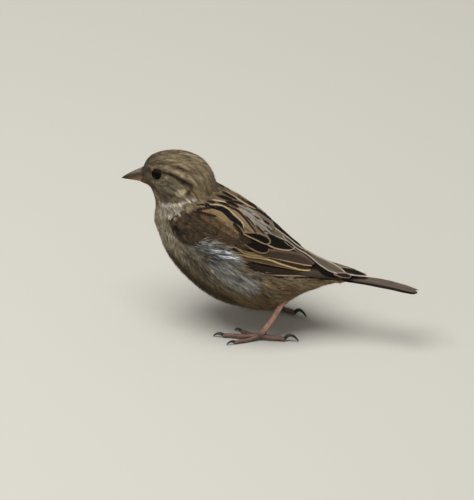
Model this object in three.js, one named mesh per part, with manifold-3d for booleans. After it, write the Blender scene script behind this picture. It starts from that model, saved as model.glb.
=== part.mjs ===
// House sparrow hen (Passer domesticus) at life size, standing on both feet and facing -X.
// Millimetres, +Z up, floor at z = 0. The bird's left side is -Y. Each named part is one closed mesh.
import * as THREE from 'three';
import { mergeVertices } from 'three/addons/utils/BufferGeometryUtils.js';
import Module from 'manifold-3d';

const wasm = await Module();
wasm.setup();

// ---- driving dimensions ----

// Clear gap between two parts that meet, and round a part that is set in a pocket.
const gap = 0.3;
const pocketGap = 0.4;

// Cross sections of the body from the bill base to the tail: the highest and lowest point of
// each as [x, z], its half width, and how much wider it is below the middle than above.
const bodySections = [
  { at: 'bill base', top: [-58.6, 72.6], foot: [-57.1, 62.8], half: 4.4, pear: 0 },
  { at: 'lores', top: [-56.4, 76.7], foot: [-56.1, 63.6], half: 6.4, pear: 0 },
  { at: 'eye', top: [-52.6, 79.1], foot: [-54.5, 63.2], half: 8.7, pear: 0 },
  { at: 'cheek', top: [-46.4, 81], foot: [-53.1, 59.8], half: 10.6, pear: 0.05 },
  { at: 'crown', top: [-38.5, 81.3], foot: [-52.6, 55.7], half: 11.6, pear: 0.08 },
  { at: 'nape', top: [-30.6, 78.1], foot: [-53.3, 51.5], half: 12.1, pear: 0.08 },
  { at: 'neck', top: [-26.1, 71.3], foot: [-53.8, 47], half: 13.7, pear: 0.08 },
  { at: 'collar', top: [-24.7, 65], foot: [-51.6, 42.6], half: 15.9, pear: 0.08 },
  { at: 'shoulder', top: [-19, 61.5], foot: [-48.8, 35.3], half: 18.4, pear: 0.08 },
  { at: 'breast', top: [-11.8, 58.2], foot: [-43.2, 27.3], half: 20, pear: 0.08 },
  { at: 'mantle', top: [-5.6, 54.2], foot: [-35.2, 19.7], half: 20.9, pear: 0.08 },
  { at: 'belly', top: [0.1, 49.6], foot: [-23, 12.5], half: 20.9, pear: 0.08 },
  { at: 'rump', top: [4.5, 44.9], foot: [-9, 10.3], half: 19.6, pear: 0.06 },
  { at: 'thighs', top: [8.7, 40.5], foot: [3.7, 10.9], half: 17, pear: 0.04 },
  { at: 'vent', top: [13.2, 38.6], foot: [14.4, 18.8], half: 11.7, pear: 0 },
  { at: 'tail coverts', top: [19.8, 35.5], foot: [21.1, 22.4], half: 7.7, pear: 0 },
  { at: 'under tail', top: [26.8, 33], foot: [27.4, 25.5], half: 5.4, pear: 0 },
  { at: 'tail root', top: [34.7, 30.8], foot: [34.9, 27.1], half: 3.6, pear: 0 },
];

// Where the body is parted, as places between the sections above.
const headEnd = 5.35;
const neckEnd = 7.4;
const ringSides = 26;
const headRingsPerSection = 3;
const bodyRingsPerSection = 2;

// Eyes.
const eyeRadius = 3;
const eyeCentre = [-49.5, 6.9, 73.3];

// Bill: the line where its halves meet, and the depth and width of each half at the base.
const billTip = [-68.7, 64.5];
const billMouth = [-58, 66.9];
const billHalfWidth = 3.7;
const billUpperDepth = 4.95;
const billLowerDepth = 2.6;

// Edges of the folded left wing from its bend to its tip, as [x, y, z].
const wingUpperEdge = [
  [-41.4, -15.4, 56.4], [-36, -12.6, 61], [-27, -9.4, 63.2], [-12, -5.4, 58.8], [1, -3.4, 49.2],
  [14, -2.6, 40.2], [25, -2.2, 34.6], [39, -1.8, 31.6],
];
const wingLowerEdge = [
  [-41.8, -16.2, 53.6], [-36.6, -18.8, 48.6], [-27, -20.4, 44.6], [-7, -19.6, 38.6], [6, -16.6, 34.2],
  [17.5, -9.9, 31.2], [28, -6.5, 30.9], [39.4, -3.8, 31],
];
const wingThickness = 2.4;
const wingTipThickness = 1;
const wingStandsProud = 0.9;
const wingTipStart = 6;

// Tail.
const tailRoot = [29.5, 28.4];
const tailTip = [67, 26];
const tailHalfWidthRoot = 2.8;
const tailHalfWidthTip = 3.5;
const tailArch = 1.4;
const tailThickness = 1.8;
const tailTipThickness = 1.1;
const tailNotch = 2;

// Legs, each measured outwards from the middle of the bird, with the foot's turn outwards in degrees.
const legs = {
  left: { thighTop: [-3, 11, 25], heel: [8.6, 10.6, 17.6], footJoint: [-0.9, 14.4, 2.2], turn: 0 },
  right: { thighTop: [-3, 11, 25], heel: [8.8, 10.9, 17.6], footJoint: [-2.4, 15.4, 2.2], turn: 9 },
};
const thighRadii = [6, 2.5];
const heelRadius = 1.6;
const shankRadius = 1.25;
const footJointRadius = 1.6;
const toes = [
  { name: 'outer', reach: [-9.8, 6.6], radius: 1, claw: 3.9, clawRise: 1.7 },
  { name: 'middle', reach: [-16.2, 2], radius: 1.15, claw: 4.6, clawRise: 2 },
  { name: 'inner', reach: [-9.6, -3.8], radius: 1, claw: 3.8, clawRise: 1.7 },
  { name: 'hind', reach: [10, -1.5], radius: 1.25, claw: 6.3, clawRise: 3.3 },
];

// ---- materials ----

const material = (color, roughness, metalness = 0) =>
  new THREE.MeshStandardMaterial({ color, roughness, metalness });
const plumage = material(0x8a7a66, 0.9);
const wingPlumage = material(0x4f3f31, 0.85);
const tailPlumage = material(0x6b5c4d, 0.85);
const horn = material(0x6e5d49, 0.45);
const scale = material(0x8d7466, 0.55);
const clawHorn = material(0x3b322b, 0.4);
const eyeBlack = material(0x0d0906, 0.08);

// ---- closed meshes and cuts ----

function closedMesh(positions, faces) {
  const geometry = new THREE.BufferGeometry();
  geometry.setAttribute('position', new THREE.Float32BufferAttribute(positions.flat(), 3));
  geometry.setIndex(faces.flat());
  return geometry;
}

function toSolid(geometry) {
  const bare = geometry.clone();
  bare.deleteAttribute('normal');
  bare.deleteAttribute('uv');
  const merged = mergeVertices(bare, 1e-4);
  const vertProperties = new Float32Array(merged.attributes.position.array);
  const triVerts = new Uint32Array(merged.index.array);
  return new wasm.Manifold(new wasm.Mesh({ numProp: 3, vertProperties, triVerts }));
}

function toGeometry(solid) {
  const mesh = solid.getMesh();
  const geometry = new THREE.BufferGeometry();
  geometry.setAttribute('position', new THREE.BufferAttribute(mesh.vertProperties, 3));
  geometry.setIndex(new THREE.BufferAttribute(mesh.triVerts, 1));
  return geometry;
}

// Skins a list of rings, each with as many points as the others, and closes both ends with a fan.
function loft(rings) {
  const sides = rings[0].length;
  const positions = rings.flat();
  const faces = [];
  for (let i = 0; i < rings.length - 1; i += 1) {
    for (let j = 0; j < sides; j += 1) {
      const a = i * sides + j;
      const b = i * sides + (j + 1) % sides;
      faces.push([a, b, b + sides], [a, b + sides, a + sides]);
    }
  }
  const middle = (ring) => [0, 1, 2].map((k) => ring.reduce((sum, p) => sum + p[k], 0) / sides);
  const last = (rings.length - 1) * sides;
  positions.push(middle(rings[0]), middle(rings[rings.length - 1]));
  for (let j = 0; j < sides; j += 1) {
    const next = (j + 1) % sides;
    faces.push([positions.length - 2, next, j], [positions.length - 1, last + j, last + next]);
  }
  return outward(closedMesh(positions, faces));
}

// Turns the faces round where they enclose a negative volume.
function outward(geometry) {
  const p = geometry.attributes.position;
  const index = geometry.index.array;
  const corner = [new THREE.Vector3(), new THREE.Vector3(), new THREE.Vector3()];
  let volume = 0;
  for (let i = 0; i < index.length; i += 3) {
    corner.forEach((c, k) => c.fromBufferAttribute(p, index[i + k]));
    volume += corner[0].dot(corner[1].clone().cross(corner[2]));
  }
  if (volume < 0) {
    for (let i = 0; i < index.length; i += 3) {
      [index[i + 1], index[i + 2]] = [index[i + 2], index[i + 1]];
    }
  }
  return geometry;
}

function floorCut(solid) {
  const below = new THREE.BoxGeometry(400, 400, 40).translate(0, 0, -20);
  return solid.subtract(toSolid(below));
}

// ---- body ----

const topLine = new THREE.CatmullRomCurve3(
  bodySections.map((s) => new THREE.Vector3(s.top[0], 0, s.top[1])), false, 'centripetal');
const footLine = new THREE.CatmullRomCurve3(
  bodySections.map((s) => new THREE.Vector3(s.foot[0], 0, s.foot[1])), false, 'centripetal');
const sizes = new THREE.CatmullRomCurve3(
  bodySections.map((s, i) => new THREE.Vector3(i, s.half, s.pear * 10)), false, 'centripetal');

// The section at a place along the body, where place 0 is the first section.
function sectionAt(place) {
  const t = THREE.MathUtils.clamp(place / (bodySections.length - 1), 0, 1);
  const top = topLine.getPoint(t);
  const foot = footLine.getPoint(t);
  const size = sizes.getPoint(t);
  const middle = top.clone().add(foot).multiplyScalar(0.5);
  const rise = top.clone().sub(foot);
  const halfHeight = rise.length() / 2;
  return { middle, up: rise.normalize(), halfHeight, half: size.y, pear: size.z / 10 };
}

function bodyRing(place) {
  const s = sectionAt(place);
  const ring = [];
  for (let j = 0; j < ringSides; j += 1) {
    const angle = (j / ringSides) * 2 * Math.PI;
    const lift = s.halfHeight * Math.cos(angle);
    const y = s.half * Math.sin(angle) * (1 - s.pear * Math.cos(angle));
    ring.push([s.middle.x + s.up.x * lift, y, s.middle.z + s.up.z * lift]);
  }
  return ring;
}

function bodyLength(from, to) {
  const rings = [];
  const steps = Math.ceil((to - from) * (from < headEnd ? headRingsPerSection : bodyRingsPerSection));
  for (let i = 0; i <= steps; i += 1) {
    rings.push(bodyRing(from + ((to - from) * i) / steps));
  }
  return toSolid(loft(rings));
}

// Half width of the body where a line along Y passes it at (x, z), or 0 where it misses.
function flankAt(x, z) {
  const sideOf = (place) => {
    const s = sectionAt(place);
    return (x - s.middle.x) * s.up.z - (z - s.middle.z) * s.up.x;
  };
  let low = 3;
  let high = bodySections.length - 1;
  for (let i = 0; i < 30; i += 1) {
    const mid = (low + high) / 2;
    if (sideOf(mid) > 0) {
      low = mid;
    } else {
      high = mid;
    }
  }
  const s = sectionAt(low);
  const cos = ((x - s.middle.x) * s.up.x + (z - s.middle.z) * s.up.z) / s.halfHeight;
  const reach = Math.max(0, 1 - cos * cos);
  return s.half * Math.sqrt(reach) * (1 - s.pear * cos);
}

// How far along the body a gap of the parting width reaches.
const gapPlaces = 0.09;

// ---- bill ----

// One half of the bill: domed sections that shrink towards the tip, above or below the mouth line.
function billHalf(side, depth) {
  const rings = [];
  const steps = 7;
  const arcSteps = 9;
  for (let i = 0; i <= steps; i += 1) {
    const t = i / steps;
    const reach = side > 0 ? t : t * 0.94;
    const x = billMouth[0] + (billTip[0] - billMouth[0]) * reach;
    const mouth = billMouth[1] + (billTip[1] - billMouth[1]) * reach ** 1.6 + side * gap / 2;
    const taper = Math.max(1 - t, 0) ** 0.78;
    const width = billHalfWidth * taper + 0.12;
    const tall = depth * Math.max(1 - t, 0) ** (side > 0 ? 0.78 : 0.95) + 0.25;
    const lean = side > 0 ? -0.1 : 0;
    const ring = [];
    for (let j = 0; j <= arcSteps; j += 1) {
      const angle = (j / arcSteps) * Math.PI;
      const lift = tall * Math.sin(angle) ** 0.9;
      ring.push([x + lean * lift * (1 - t), width * Math.cos(angle), mouth + side * lift]);
    }
    rings.push(ring);
  }
  return toSolid(loft(rings));
}

// ---- wings and tail ----

const curveOf = (points) =>
  new THREE.CatmullRomCurve3(points.map((p) => new THREE.Vector3(...p)), false, 'centripetal');

// A closed sheet: a grid of surface points and the same grid pushed inwards by a thickness
// that may change from the first row to the last.
function sheet(grid, thicknessAt, grow) {
  const rows = grid.length;
  const columns = grid[0].length;
  const normalAt = (i, j) => {
    const along = grid[Math.min(i + 1, rows - 1)][j].clone().sub(grid[Math.max(i - 1, 0)][j]);
    const across = grid[i][Math.min(j + 1, columns - 1)].clone().sub(grid[i][Math.max(j - 1, 0)]);
    return across.cross(along).normalize();
  };
  const rings = grid.map((row, i) => {
    const push = (i === rows - 1 ? grow : 0) - (i === 0 ? grow : 0);
    const outer = row.map((p, j) => p.clone().addScaledVector(normalAt(i, j), grow).setX(p.x + push));
    const depth = thicknessAt(i / (rows - 1)) + grow;
    const inner = row.map((p, j) => p.clone().addScaledVector(normalAt(i, j), -depth).setX(p.x + push));
    return [...outer, ...inner.reverse()].map((p) => p.toArray());
  });
  return toSolid(loft(rings));
}

function wingSolid(grow) {
  const upper = curveOf(wingUpperEdge);
  const lower = curveOf(wingLowerEdge);
  const rows = 15;
  const columns = 6;
  const grid = [];
  for (let i = 0; i <= rows; i += 1) {
    const a = upper.getPoint(i / rows);
    const b = lower.getPoint(i / rows);
    const widen = grow / a.distanceTo(b);
    const row = [];
    for (let j = 0; j <= columns; j += 1) {
      const s = -widen + (1 + 2 * widen) * (j / columns);
      const p = a.clone().lerp(b, s);
      const arch = 1.2 * Math.sin(Math.PI * THREE.MathUtils.clamp(s, 0, 1));
      p.y = -Math.max(-p.y + arch, flankAt(p.x, p.z) + wingStandsProud);
      row.push(p);
    }
    grid.push(row);
  }
  // Thin at the bend, thickest over the arm, and thin again at the tip.
  const thicknessAt = (t) =>
    Math.min(wingTipThickness + t * 10, wingThickness + (wingTipThickness - wingThickness) * t);
  return sheet(grid, thicknessAt, grow);
}

function tailSolid(grow) {
  const rows = 9;
  const columns = 8;
  const grid = [];
  for (let i = 0; i <= rows; i += 1) {
    const t = i / rows;
    const row = [];
    for (let j = 0; j <= columns; j += 1) {
      const s = (j / columns) * 2 - 1;
      const half = tailHalfWidthRoot + (tailHalfWidthTip - tailHalfWidthRoot) * t + grow;
      const notch = tailNotch * (Math.abs(Math.abs(s) - 0.62) / 0.62) ** 2 * t ** 6;
      const x = tailRoot[0] + (tailTip[0] - tailRoot[0]) * t - notch;
      const arch = tailArch * Math.sin(Math.PI * t ** 1.2);
      const z = tailRoot[1] + (tailTip[1] - tailRoot[1]) * t + arch - 0.9 * s * s;
      row.push(new THREE.Vector3(x, half * s, z + tailThickness / 2));
    }
    grid.push(row);
  }
  return sheet(grid, (t) => tailThickness + (tailTipThickness - tailThickness) * t, grow);
}

// ---- legs ----

// A round limb along points, with a radius at each, closed with rounded ends.
function limb(points, radii, grow = 0, sides = 7) {
  const path = curveOf(points);
  const steps = (points.length - 1) * 2;
  const tangent = new THREE.Vector3();
  const rings = [];
  const addRing = (centre, radius) => {
    const across = new THREE.Vector3(0, 1, 0).cross(tangent).normalize();
    const other = tangent.clone().cross(across);
    const ring = [];
    for (let j = 0; j < sides; j += 1) {
      const angle = (j / sides) * 2 * Math.PI;
      const p = centre.clone().addScaledVector(across, radius * Math.cos(angle));
      ring.push(p.addScaledVector(other, radius * Math.sin(angle)).toArray());
    }
    rings.push(ring);
  };
  const radiusAt = (t) => {
    const at = t * (radii.length - 1);
    const low = Math.min(Math.floor(at), radii.length - 2);
    return radii[low] + (radii[low + 1] - radii[low]) * (at - low) + grow;
  };
  const addCap = (end) => {
    path.getTangent(end, tangent);
    const radius = radiusAt(end);
    const centre = path.getPoint(end).addScaledVector(tangent, (end ? 0.6 : -0.6) * radius);
    addRing(centre, 0.6 * radius);
  };
  addCap(0);
  for (let i = 0; i <= steps; i += 1) {
    path.getTangent(i / steps, tangent);
    addRing(path.getPoint(i / steps), radiusAt(i / steps));
  }
  addCap(1);
  return toSolid(loft(rings));
}

// A toe swells at its pads, and its last joint carries a claw that arches down to the floor.
function toeParts(toe, { footJoint, turn }, grow = 0) {
  const [footX, footY, footZ] = footJoint;
  const length = Math.hypot(...toe.reach);
  const heading = Math.atan2(toe.reach[1], toe.reach[0]) - THREE.MathUtils.degToRad(turn);
  const at = (along, height) =>
    [footX + Math.cos(heading) * along, footY + Math.sin(heading) * along, height];
  const r = toe.radius;
  const padHeight = r * 0.86;
  const toePath = [
    at(1.8, footZ - 0.4), at(length * 0.38, r + 0.3), at(length * 0.6, padHeight),
    at(length * 0.82, r + 0.15), at(length, padHeight),
  ];
  const toeSolid = limb(toePath, [r * 1.05, r * 0.95, r * 1.02, r * 0.84, r * 0.82], grow);
  const clawStart = length + r * 0.4;
  const clawPath = [
    at(clawStart, r * 1.1), at(clawStart + toe.claw * 0.34, toe.clawRise * 0.86),
    at(clawStart + toe.claw * 0.74, toe.clawRise * 0.62), at(clawStart + toe.claw, 0.15),
  ];
  const clawSolid = limb(clawPath, [r * 0.62, r * 0.56, r * 0.42, 0.26], grow, 7);
  return { toeSolid, clawSolid };
}

// One leg, built on the +Y side.
function legParts(leg) {
  const { thighTop, heel, footJoint } = leg;
  const thigh = (grow) => limb([thighTop, heel], thighRadii, grow, 12);
  const knuckle = heel.map((value, k) => value * 0.55 + footJoint[k] * 0.45);
  const shankRadii = [heelRadius, shankRadius, shankRadius, shankRadius, footJointRadius];
  const shank = (grow) => limb([heel, knuckle, footJoint], shankRadii, grow);
  const parts = { thigh: thigh(0), shank: floorCut(shank(0).subtract(thigh(gap))) };
  let taken = shank(gap).add(thigh(gap));
  for (const toe of toes) {
    const { toeSolid, clawSolid } = toeParts(toe, leg);
    const grown = toeParts(toe, leg, gap);
    parts[`${toe.name}_toe`] = floorCut(toeSolid.subtract(taken));
    parts[`${toe.name}_claw`] = floorCut(clawSolid.subtract(grown.toeSolid));
    taken = taken.add(grown.toeSolid);
  }
  return { parts, pocket: thigh(pocketGap).add(shank(pocketGap)) };
}

// ---- assembly ----

function mirrorSolid(solid) {
  return toSolid(outward(toGeometry(solid).scale(1, -1, 1)));
}

const bird = new THREE.Group();
const model = new THREE.Group();
bird.add(model);

function addPart(name, solid, finish) {
  const mesh = new THREE.Mesh(toGeometry(solid), finish);
  mesh.name = name;
  model.add(mesh);
}

// The largest body of a cut solid, without the crumbs a pocket's edge may leave.
const largestOf = (solid) => solid.decompose().sort((a, b) => b.volume() - a.volume())[0];

const sphere = (radius, [x, y, z]) => toSolid(new THREE.SphereGeometry(radius, 14, 9).translate(x, y, z));
const eyePlaces = { left: [eyeCentre[0], -eyeCentre[1], eyeCentre[2]], right: eyeCentre };

let head = bodyLength(0, headEnd);
for (const place of Object.values(eyePlaces)) {
  head = head.subtract(sphere(eyeRadius + gap, place));
}
addPart('head', head, plumage);
for (const [side, place] of Object.entries(eyePlaces)) {
  addPart(`${side}_eye`, sphere(eyeRadius, place), eyeBlack);
}

addPart('bill_upper', billHalf(1, billUpperDepth).subtract(bodyLength(0, 2)), horn);
addPart('bill_lower', billHalf(-1, billLowerDepth).subtract(bodyLength(0, 2)), horn);

const leftWing = wingSolid(0);
const wingSunk = toSolid(toGeometry(leftWing).translate(0, pocketGap, 0));
const leftPocket = wingSolid(pocketGap).add(wingSunk);
const tail = tailSolid(0);
const legSolids = { left: legParts(legs.left), right: legParts(legs.right) };
const pockets = leftPocket.add(mirrorSolid(leftPocket))
  .add(tailSolid(pocketGap))
  .add(mirrorSolid(legSolids.left.pocket))
  .add(legSolids.right.pocket);

addPart('neck', bodyLength(headEnd + gapPlaces, neckEnd).subtract(pockets), plumage);
addPart('trunk', bodyLength(neckEnd + gapPlaces, bodySections.length - 1).subtract(pockets), plumage);
addPart('tail', largestOf(tail.subtract(leftPocket.add(mirrorSolid(leftPocket)))), tailPlumage);

const wingFront = toSolid(new THREE.BoxGeometry(200, 100, 200).translate(wingTipStart - 100, 0, 40));
const wingSlit = toSolid(new THREE.BoxGeometry(gap, 100, 200).translate(wingTipStart, 0, 40));
const leftWingParts = {
  wing: leftWing.intersect(wingFront).subtract(wingSlit),
  wing_tip: leftWing.subtract(wingFront).subtract(wingSlit),
};
for (const side of ['left', 'right']) {
  for (const [name, solid] of Object.entries(leftWingParts)) {
    addPart(`${side}_${name}`, side === 'left' ? solid : mirrorSolid(solid), wingPlumage);
  }
  for (const [name, solid] of Object.entries(legSolids[side].parts)) {
    const finish = { thigh: plumage, shank: scale }[name] ?? (name.endsWith('claw') ? clawHorn : scale);
    addPart(`${side}_${name}`, side === 'left' ? mirrorSolid(solid) : solid, finish);
  }
}

// The origin is on the floor, under the middle of the bird and its feet.
const box = new THREE.Box3().setFromObject(model);
model.position.set(-(box.min.x + box.max.x) / 2, -(box.min.y + box.max.y) / 2, -box.min.z);

export default bird;
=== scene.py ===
import math

import bpy
import bmesh
import numpy as np
from mathutils import Matrix, Vector, noise
from mathutils.bvhtree import BVHTree
from mathutils.kdtree import KDTree


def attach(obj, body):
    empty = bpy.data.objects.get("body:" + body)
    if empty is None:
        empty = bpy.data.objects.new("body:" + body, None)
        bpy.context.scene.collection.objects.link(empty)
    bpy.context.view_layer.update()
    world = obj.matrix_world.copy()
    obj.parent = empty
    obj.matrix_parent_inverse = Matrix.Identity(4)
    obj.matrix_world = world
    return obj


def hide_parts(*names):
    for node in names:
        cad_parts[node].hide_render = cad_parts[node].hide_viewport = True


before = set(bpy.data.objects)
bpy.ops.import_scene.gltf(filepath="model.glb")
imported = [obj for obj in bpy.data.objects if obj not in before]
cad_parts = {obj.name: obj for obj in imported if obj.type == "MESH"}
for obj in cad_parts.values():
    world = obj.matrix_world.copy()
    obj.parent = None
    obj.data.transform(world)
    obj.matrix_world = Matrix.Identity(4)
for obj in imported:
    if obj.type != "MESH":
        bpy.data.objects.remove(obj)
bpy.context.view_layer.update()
mm = 0.001
birdPlace = np.array([0.8875, -1.484, 0.0])  # mm, the point between the feet, as the frame has it

# Shapes are worked out in the bird's own millimetres: it faces -X, its left side is -Y and y = 0 is
# its middle. toFrame turns them into metres in the frame.
def toFrame(points):
    return (np.asarray(points) + birdPlace) * mm

def fromFrame(points):
    return np.asarray(points) / mm - birdPlace

def smooth(low, high, value):
    t = np.clip((value - low) / (high - low), 0, 1)
    return t * t * (3 - 2 * t)

# A screen colour, 0 to 255, as linear light.
def paint(red, green, blue):
    screen = np.array([red, green, blue]) / 255
    return np.where(screen < 0.04045, screen / 12.92, ((screen + 0.055) / 1.055) ** 2.4)

def blend(colour, other, share):
    share = np.asarray(share)[..., None]
    return colour * (1 - share) + other * share

# Places on a smooth curve through the points, at shares of the way from the first to the last.
def curveAt(points, shares):
    points = np.array(points, float)
    ends = np.vstack([2 * points[0] - points[1], points, 2 * points[-1] - points[-2]])
    out = []
    for share in np.asarray(shares) * (len(points) - 1):
        k = min(int(share), len(points) - 2)
        t = share - k
        a, b, c, d = ends[k:k + 4]
        out.append(0.5 * (2 * b + (c - a) * t + (2 * a - 5 * b + 4 * c - d) * t ** 2
                          + (3 * b - a - 3 * c + d) * t ** 3))
    return np.array(out)

def unit(vectors):
    return vectors / np.maximum(np.linalg.norm(vectors, axis=-1, keepdims=True), 1e-9)

cameraPlan = {
    "turn": 15.0,           # degrees round from the bird's left side, towards its tail
    "height": 28.0,         # degrees above the floor
    "distance": 6.0,
    "perMm": 2.25,          # chart units to a millimetre
    "feet": (270.6, 324.7), # the chart's place for the point between the feet
    "frame": (474, 500),
}
perMm = cameraPlan["perMm"]
feetAcross, feetDown = cameraPlan["feet"]
turn, height = math.radians(cameraPlan["turn"]), math.radians(cameraPlan["height"])
chartBack = np.array([math.sin(turn) * math.cos(height), -math.cos(turn) * math.cos(height),
                      math.sin(height)])
chartRight = np.array([math.cos(turn), math.sin(turn), 0])
chartUp = np.cross(chartBack, chartRight)

def makeCamera(plan):
    wide, tall = plan["frame"]
    unitSize = mm / perMm
    back, right, up = Vector(chartBack), Vector(chartRight), Vector(chartUp)
    middle = Vector(toFrame([0, 0, 0]))
    middle += right * (wide / 2 - feetAcross - 0.5) * unitSize
    middle += up * (feetDown + 0.5 - tall / 2) * unitSize
    lens = bpy.data.cameras.new("camera")
    lens.sensor_fit = "VERTICAL"
    lens.sensor_height = 36
    lens.lens = 36 * plan["distance"] / (tall * unitSize)
    lens.clip_start = 0.05
    camera = bpy.data.objects.new("camera", lens)
    bpy.context.scene.collection.objects.link(camera)
    turned = Matrix((right, up, back)).transposed().to_4x4()
    camera.matrix_world = Matrix.Translation(middle + back * plan["distance"]) @ turned
    bpy.context.scene.camera = camera

makeCamera(cameraPlan)
print("camera set")

# The chart is the bird's left side as the camera sees it, in units right and down from the frame's
# top left corner. Both sides of the bird are marked from it.
def seen(points):
    return np.stack([feetAcross + perMm * (points @ chartRight), feetDown - perMm * (points @ chartUp)], -1)

def chartOf(points):
    near = np.array(points, float)
    near[..., 1] = -np.abs(near[..., 1])
    return seen(near)

def chartPoint(across, down):
    return chartRight * ((across - feetAcross) / perMm) + chartUp * ((feetDown - down) / perMm)

# How squarely a surface, or its mirror image on the left side, faces the camera.
def nearFacing(points, normals):
    near = np.array(normals)
    near[:, 1] *= np.where(points[:, 1] > 0, -1, 1)
    return near @ chartBack

def gapToEye(points, eye):
    near = np.array(points)
    near[:, 1] = np.abs(near[:, 1])
    return np.linalg.norm(near - eye, axis=1)

# Builds one material. Each call adds a node and gives back the output that the next one takes.
class MaterialMaker:
    def __init__(self, name):
        self.material = bpy.data.materials.new(name)
        self.material.use_nodes = True
        self.tree = self.material.node_tree

    def fill(self, node, values):
        for name, value in values.items():
            if isinstance(value, bpy.types.NodeSocket):
                self.tree.links.new(value, node.inputs[name])
            else:
                node.inputs[name].default_value = value

    def add(self, kind, values, output=0, **settings):
        node = self.tree.nodes.new("ShaderNode" + kind)
        for name, value in settings.items():
            setattr(node, name, value)
        self.fill(node, values)
        return node.outputs[output]

    def where(self):
        return self.add("TexCoord", {}, "Object")

    def attribute(self, name, output="Color"):
        return self.add("Attribute", {}, output, attribute_name=name)

    def noise(self, where, scale, detail):
        return self.add("TexNoise", {"Vector": where, "Scale": scale, "Detail": detail}, "Fac")

    def mapped(self, value, before, after=(0, 1), **settings):
        values = {"Value": value, "From Min": before[0], "From Max": before[1],
                  "To Min": after[0], "To Max": after[1]}
        return self.add("MapRange", values, "Result", **settings)

    def scaled(self, colour, amount):
        return self.add("VectorMath", {0: colour, "Scale": amount}, "Vector", operation="SCALE")

    def mixed(self, share, first, second):
        return self.add("Mix", {"Factor": share, "A": first, "B": second}, "Result", data_type="RGBA")

    def parts(self, vector):
        return self.add("SeparateXYZ", {0: vector}).node.outputs

    def maths(self, operation, *values):
        return self.add("Math", dict(enumerate(values)), operation=operation)

    # Sets the shader's inputs, with a bump from the height if there is one.
    def surface(self, values, height=None, strength=0, depth=0):
        if height is not None:
            bump = {"Height": height, "Strength": strength, "Distance": depth}
            values = dict(values, Normal=self.add("Bump", bump, "Normal"))
        self.fill(self.tree.nodes["Principled BSDF"], values)
        return self.material

def opaque(colour, gain=1):
    return (*(paint(*colour) * gain), 1)

# Floor, light and backdrop.
studio = {
    "floorColour": (172, 170, 162), "floorRoughness": 0.85, "floorSize": 4,
    "skyColour": (238, 234, 228), "skyStrength": 0.42,
    "lights": {
        "topLight": {"place": (-0.3, -0.25, 1.3), "size": 1.0, "power": 27},
        "sideLight": {"place": (-0.6, -1.3, 0.9), "size": 0.9, "power": 3.5},
    },
}

def makeStudio(plan):
    bpy.context.scene.view_settings.view_transform = "Standard"
    shape = bmesh.new()
    bmesh.ops.create_grid(shape, x_segments=1, y_segments=1, size=plan["floorSize"])
    mesh = bpy.data.meshes.new("floor")
    shape.to_mesh(mesh)
    shape.free()
    floor = bpy.data.objects.new("floor", mesh)
    bpy.context.scene.collection.objects.link(floor)
    looks = {"Base Color": opaque(plan["floorColour"]), "Roughness": plan["floorRoughness"]}
    mesh.materials.append(MaterialMaker("paleFloor").surface(looks))
    world = bpy.data.worlds.new("softSky")
    world.use_nodes = True
    sky = world.node_tree.nodes["Background"]
    sky.inputs["Color"].default_value = opaque(plan["skyColour"])
    sky.inputs["Strength"].default_value = plan["skyStrength"]
    bpy.context.scene.world = world
    for name, light in plan["lights"].items():
        lamp = bpy.data.lights.new(name, "AREA")
        lamp.size = light["size"]
        lamp.energy = light["power"]
        holder = bpy.data.objects.new(name, lamp)
        bpy.context.scene.collection.objects.link(holder)
        spot = Vector(light["place"])
        holder.matrix_world = Matrix.Translation(spot) @ (-spot).to_track_quat("-Z", "Y").to_matrix().to_4x4()

makeStudio(studio)
print("floor and light set")

# Cross sections from the bill base to the tail root: top x and z, foot x and z, half width.
bodySections = np.array([
    (-58.6, 72.6, -57.1, 62.8, 4.4), (-56.4, 76.7, -56.1, 63.6, 6.4), (-52.6, 79.1, -54.5, 63.2, 8.7),
    (-46.4, 81, -53.1, 59.8, 10.6), (-38.5, 81.3, -52.6, 55.7, 11.6), (-30.6, 78.1, -53.3, 51.5, 12.1),
    (-26.1, 71.3, -53.8, 47, 13.7), (-24.7, 65, -51.6, 42.6, 15.9), (-19, 61.5, -48.8, 35.3, 18.4),
    (-11.8, 58.2, -43.2, 27.3, 20), (-5.6, 54.2, -35.2, 19.7, 20.9), (0.1, 49.6, -23, 12.5, 20.9),
    (4.5, 44.9, -9, 10.3, 19.6), (8.7, 40.5, 3.7, 10.9, 17), (13.2, 38.6, 14.4, 18.8, 11.7),
    (19.8, 35.5, 21.1, 22.4, 7.7), (26.8, 33, 27.4, 25.5, 5.4), (34.7, 30.8, 34.9, 27.1, 3.6)])
stepsPerSection = 8

# Reads a list that has one value for each cross section, at places between them.
def alongBody(spots, values):
    return np.interp(spots, range(len(bodySections)), values)

lastSection = len(bodySections) - 1
stationPlaces = np.linspace(0, lastSection, lastSection * stepsPerSection + 1)
stations = np.stack([alongBody(stationPlaces, column) for column in bodySections.T], 1)

# For each point: its place along the body in sections, its angle down from the top, and the way
# the feathers lie there, before it is laid on the surface.
def bodyPlaces(points):
    topX, topZ, footX, footZ, half = stations.T
    middleX, middleZ = (topX + footX) / 2, (topZ + footZ) / 2
    tall = np.hypot(topX - footX, topZ - footZ)
    upX, upZ = (topX - footX) / tall, (topZ - footZ) / tall
    def measure(k):
        offX, offZ = points[:, 0] - middleX[k], points[:, 2] - middleZ[k]
        return offX * upZ[k] - offZ * upX[k], (offX * upX[k] + offZ * upZ[k]) / (tall[k] / 2)
    best = np.full(len(points), 1e9)
    found = np.zeros(len(points), int)
    for k in range(len(stations)):
        off, lift = measure(k)
        ring = np.hypot(lift, points[:, 1] / half[k])
        cost = np.abs(off) + 3 * np.abs(ring - 1)
        better = cost < best
        best[better] = cost[better]
        found[better] = k
    angle = np.degrees(np.arctan2(np.abs(points[:, 1]) / half[found], measure(found)[1]))
    lie = np.stack([upZ[found], np.zeros(len(points)), -upX[found]], 1)
    return stationPlaces[found], angle, lie

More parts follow.
